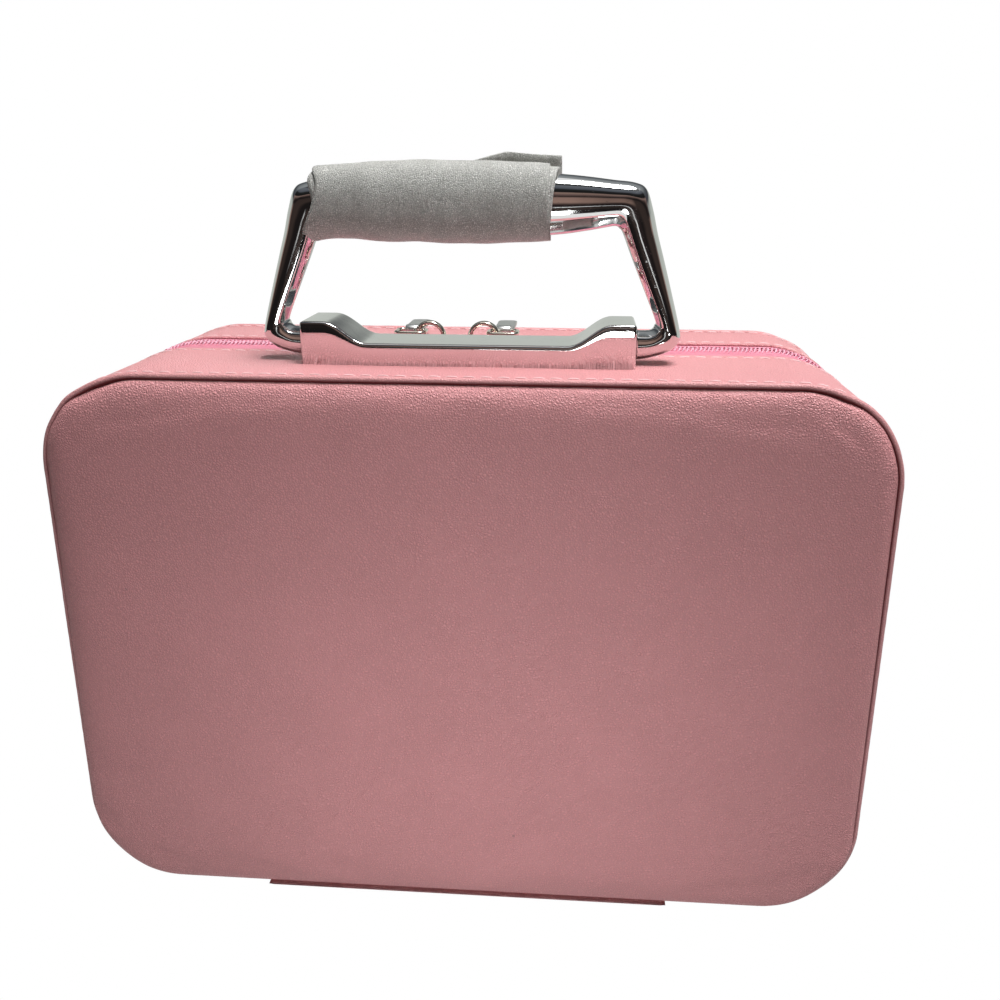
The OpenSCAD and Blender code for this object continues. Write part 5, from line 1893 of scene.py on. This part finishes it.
@dataclass(frozen=True)
class Studio:
    """The white floor and backdrop, the glowing cards that paint the reflections in the plating and the
    leather, the lamps and the camera.

    The case hangs clear of the floor, because its lid swings down below the spine when it opens.
    """

    floor_z: float = -0.22
    cards_radius: float = 0.8
    lens: float = 36.0
    ambient: float = 0.09
    eye: Place = (0.03168, -0.30996, 0.21993)
    ahead: Place = (-0.07398, 0.94682, -0.31314)
    above: Place = (-0.02589, 0.31207, 0.94971)

    # Each lamp's name, place, target, size in metres, power in watts and spread in degrees.
    LAMPS = (
        ("overhead", (0.38, -0.12, 1.42), (0.0, 0.0, 0.15), 0.6, 24.5, 180),
        ("rear_fill", (-0.35, 1.2, 0.0), (0.0, 0.05, 0.0), 0.5, 1.3, 60),
        ("front_fill", (0.02, -0.45, 0.0), (0.005, -0.05, 0.045), 0.12, 0.072, 56),
    )

    # The glow of the painted reflections in front of the case and behind it, by the sine of its elevation.
    FRONT_REFLECTION_BANDS = (
        (-1.0, (0.1, 0.08, 0.08)), (-0.45, (0.04, 0.03, 0.03)), (-0.15, (0.01, 0.008, 0.008)),
        (-0.08, (0.012, 0.01, 0.01)), (0.02, (0.05, 0.035, 0.03)), (0.13, (0.02, 0.015, 0.015)),
        (0.22, (0.03, 0.02, 0.02)), (0.28, (0.34, 0.22, 0.18)), (0.4, (0.3, 0.19, 0.16)),
        (0.44, (0.02, 0.015, 0.015)), (0.5, (0.14, 0.09, 0.08)), (0.56, (0.3, 0.2, 0.17)),
        (0.6, (0.01, 0.01, 0.01)), (0.74, (0.02, 0.02, 0.02)), (0.8, (0.1, 0.11, 0.13)),
        (0.9, (0.16, 0.17, 0.19)), (0.93, (0.01, 0.01, 0.01)),
    )
    REAR_REFLECTION_BANDS = (
        (-1.0, (0.2, 0.18, 0.18)), (-0.35, (0.06, 0.05, 0.05)), (-0.12, (0.5, 0.5, 0.48)),
        (0.1, (0.64, 0.66, 0.62)), (0.42, (0.55, 0.58, 0.54)), (0.5, (0.05, 0.05, 0.06)),
        (0.7, (0.1, 0.11, 0.12)), (0.9, (0.3, 0.32, 0.33)),
    )

    def build(self) -> None:
        """Makes the camera, the world, the floor, the cards and the lamps."""
        self._camera()
        self._world()
        self._floor()
        self._cards()
        for lamp in self.LAMPS:
            self._lamp(*lamp)
        bpy.context.scene.view_settings.view_transform = "Standard"

    def _camera(self) -> None:
        """Stands the camera where the photograph was taken from."""
        camera = new_object("camera", bpy.data.cameras.new("camera"))
        camera.data.lens = self.lens
        camera.data.sensor_width = 36.0
        camera.data.clip_start = 0.01
        back = -Vector(self.ahead).normalized()
        up = Vector(self.above)
        right = up.cross(back).normalized()
        up = back.cross(right)
        turn = Matrix((right, up, back)).transposed()
        camera.matrix_world = Matrix.Translation(self.eye) @ turn.to_4x4()
        bpy.context.scene.camera = camera

    def _lamp(self, name: str, place: Place, target: Place, size: float, power: float, spread: float) -> None:
        """Hangs a square soft light that faces a target, with its beam's spread in degrees."""
        lamp = new_object(name, bpy.data.lights.new(name, "AREA"))
        lamp.data.shape = "SQUARE"
        lamp.data.size = size
        lamp.data.energy = power
        lamp.data.spread = math.radians(spread)
        lamp.location = place
        lamp.rotation_euler = (Vector(target) - Vector(place)).to_track_quat("-Z", "Y").to_euler()

    def _world(self) -> None:
        """A white backdrop that lights the case from all round at a low level."""
        world = bpy.data.worlds.new("studio")
        bpy.context.scene.world = world
        s = Shader("studio", world)
        rays = s.node("ShaderNodeLightPath")
        seen = Wire(s, rays.outputs["Is Camera Ray"])
        for name in ("Is Transmission Ray", "Is Glossy Ray"):
            seen = seen.math("MAXIMUM", seen, Wire(s, rays.outputs[name]))
        strength = s.wire("ShaderNodeMapRange", None, {"Value": seen, "To Min": self.ambient, "To Max": 1.0})
        background = s.wire("ShaderNodeBackground", None, {"Color": (1, 1, 1, 1), "Strength": strength})
        s.node("ShaderNodeOutputWorld", None, {"Surface": background})

    def _floor(self) -> None:
        """Lays the floor, which is seen as white away from the case's soft shadow."""
        half = 6.0
        corners = np.array([(-half, -half), (half, -half), (half, half), (-half, half)])
        points = np.column_stack([corners, np.full(4, self.floor_z)])
        mesh = bpy.data.meshes.new("floor")
        mesh.from_pydata(points.tolist(), [], [[0, 1, 2, 3]])
        mesh.shade_smooth()
        floor = new_object("floor", mesh)
        s = Shader("floor")
        place = s.coordinates()
        far = s.wire("ShaderNodeVectorMath", {"operation": "LENGTH"}, {0: place}, "Value").within(0.08, 0.26)
        rays = s.node("ShaderNodeLightPath")
        seen = Wire(s, rays.outputs["Is Camera Ray"]) + Wire(s, rays.outputs["Is Glossy Ray"])
        seen = seen + Wire(s, rays.outputs["Is Transmission Ray"])
        grain = s.noise(place, 40 * MM, 3.0)
        lit = s.mix(grain, (0.13, 0.13, 0.13), (0.16, 0.16, 0.16))
        matt = s.wire("ShaderNodeBsdfPrincipled", None, {
            "Base Color": s.mix(seen, lit, (0.88, 0.88, 0.88)), "Roughness": 0.8, "Specular IOR Level": 0.2,
        })
        white = s.wire("ShaderNodeEmission", None, {"Color": (1, 1, 1, 1), "Strength": 1.0})
        factor = (seen * far).math("MINIMUM", seen * far, 1.0)
        both = s.wire("ShaderNodeMixShader", None, {0: factor, 1: matt, 2: white})
        s.node("ShaderNodeOutputMaterial", None, {"Surface": both})
        floor.data.materials.append(s.owner)

    def _cards(self) -> None:
        """Hangs cards all round that glow dark in most bands and light in some, with gaps that show the white
        backdrop; gloss alone sees them, so they are painted reflections.
        """
        rise = np.radians(np.linspace(-89, 89, 48))[:, None]
        turn = np.radians(np.arange(0, 360, 5))[None]
        ball = [np.cos(rise) * np.cos(turn), np.cos(rise) * np.sin(turn), np.sin(rise) + 0 * turn]
        cards = Lattice("cards", self.cards_radius * np.stack(ball, -1), False, True).build()
        s = Shader("cards")
        split = s.node("ShaderNodeSeparateXYZ", None, {0: s.coordinates()})
        x, y, z = (Wire(s, socket) for socket in split.outputs)
        height = z / self.cards_radius
        turned = x.math("ARCTAN2", x.math("ABSOLUTE", x), y * -1.0)
        rear = turned.within(1.45, 1.75)
        ramps = []
        for bands in (self.FRONT_REFLECTION_BANDS, self.REAR_REFLECTION_BANDS):
            stops = [(0.5 + 0.5 * sine, colour) for sine, colour in bands]
            ramps.append(s.wire("ShaderNodeValToRGB", {"stops": stops}, {0: 0.5 + 0.5 * height}))
        # Painted reflections: the sides in front glow nearly black, and gaps let the white backdrop show
        # overhead, where the overhead lamp hangs, and through a thin slit round the front.
        beside = turned.within(0.12, 0.3) * turned.within(1.45, 1.25) * height.within(0.6, 0.45)
        lamp = height.within(0.945, 0.965)
        slit = height.within(0.1, 0.11) * height.within(0.135, 0.125)
        gap = lamp + (1.0 - rear) * (1.0 - beside) * slit
        colour = s.mix(rear, s.mix(beside * 0.9, ramps[0], (0.012, 0.01, 0.01)), ramps[1])
        shade = s.wire("ShaderNodeBsdfPrincipled", None, {
            "Base Color": (0, 0, 0, 1), "Specular IOR Level": 0.0, "Emission Color": colour,
            "Emission Strength": 1.0, "Alpha": 1.0 - gap,
        })
        s.node("ShaderNodeOutputMaterial", None, {"Surface": shade})
        cards.data.materials.append(s.owner)
        for kind in ("camera", "diffuse", "transmission", "shadow", "volume_scatter"):
            setattr(cards, "visible_" + kind, False)


# ---------- The case ----------


def carried_over() -> None:
    """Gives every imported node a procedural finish, also those that a piece stands for."""
    finishes = {finish.slot: finish for finish in reversed(Finish)}
    for row in frame["record"]["subparts"]:
        node = frame["nodes"][row["node"]]
        node.data.materials.clear()
        node.data.materials.append(finishes[row["material_slot"]].material)


# How much of the body's leather is left off beside the zip, where the tape shows.
BARE_TAPE = 6 * MM


def main() -> None:
    """Builds the studio and the case's sub-assemblies in order."""
    logging.basicConfig(level=logging.INFO, format="%(name)s: %(message)s")
    Studio().build()
    carried_over()
    form = CaseForm.from_frame()
    body_skin, lid_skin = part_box("body_skin"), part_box("lid_skin")
    body = Half("case_body", "front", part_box("front_panel")[0].y, body_skin[0].y, body_skin[1].y - BARE_TAPE)
    lid = Half("case_lid", "rear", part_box("rear_panel")[1].y, lid_skin[1].y, lid_skin[0].y)
    zip_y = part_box("body_spine")[1].y
    for half, node in ((body, "body_skin"), (lid, "lid_skin")):
        PaddedPanel(form, half).build()
        Piping(form, half).build()
        Gusset(form, half, node).build()
        ZipSide(form, half, node.removesuffix("_skin"), zip_y).build()
        Lining(form, half, node.replace("skin", "lining")).build()
    Spine(form, zip_y).build()
    Handle.from_frame().build()
    for side in ("left", "right"):
        Pull(side, zip_y, form.leather_top).build()
    Divider("long_divider").build()
    for row in ("upper", "lower"):
        for side in ("left", "right"):
            Divider(f"{row}_divider_{side}").build()
    Pocket().build()


if __name__ == "__main__":
    main()
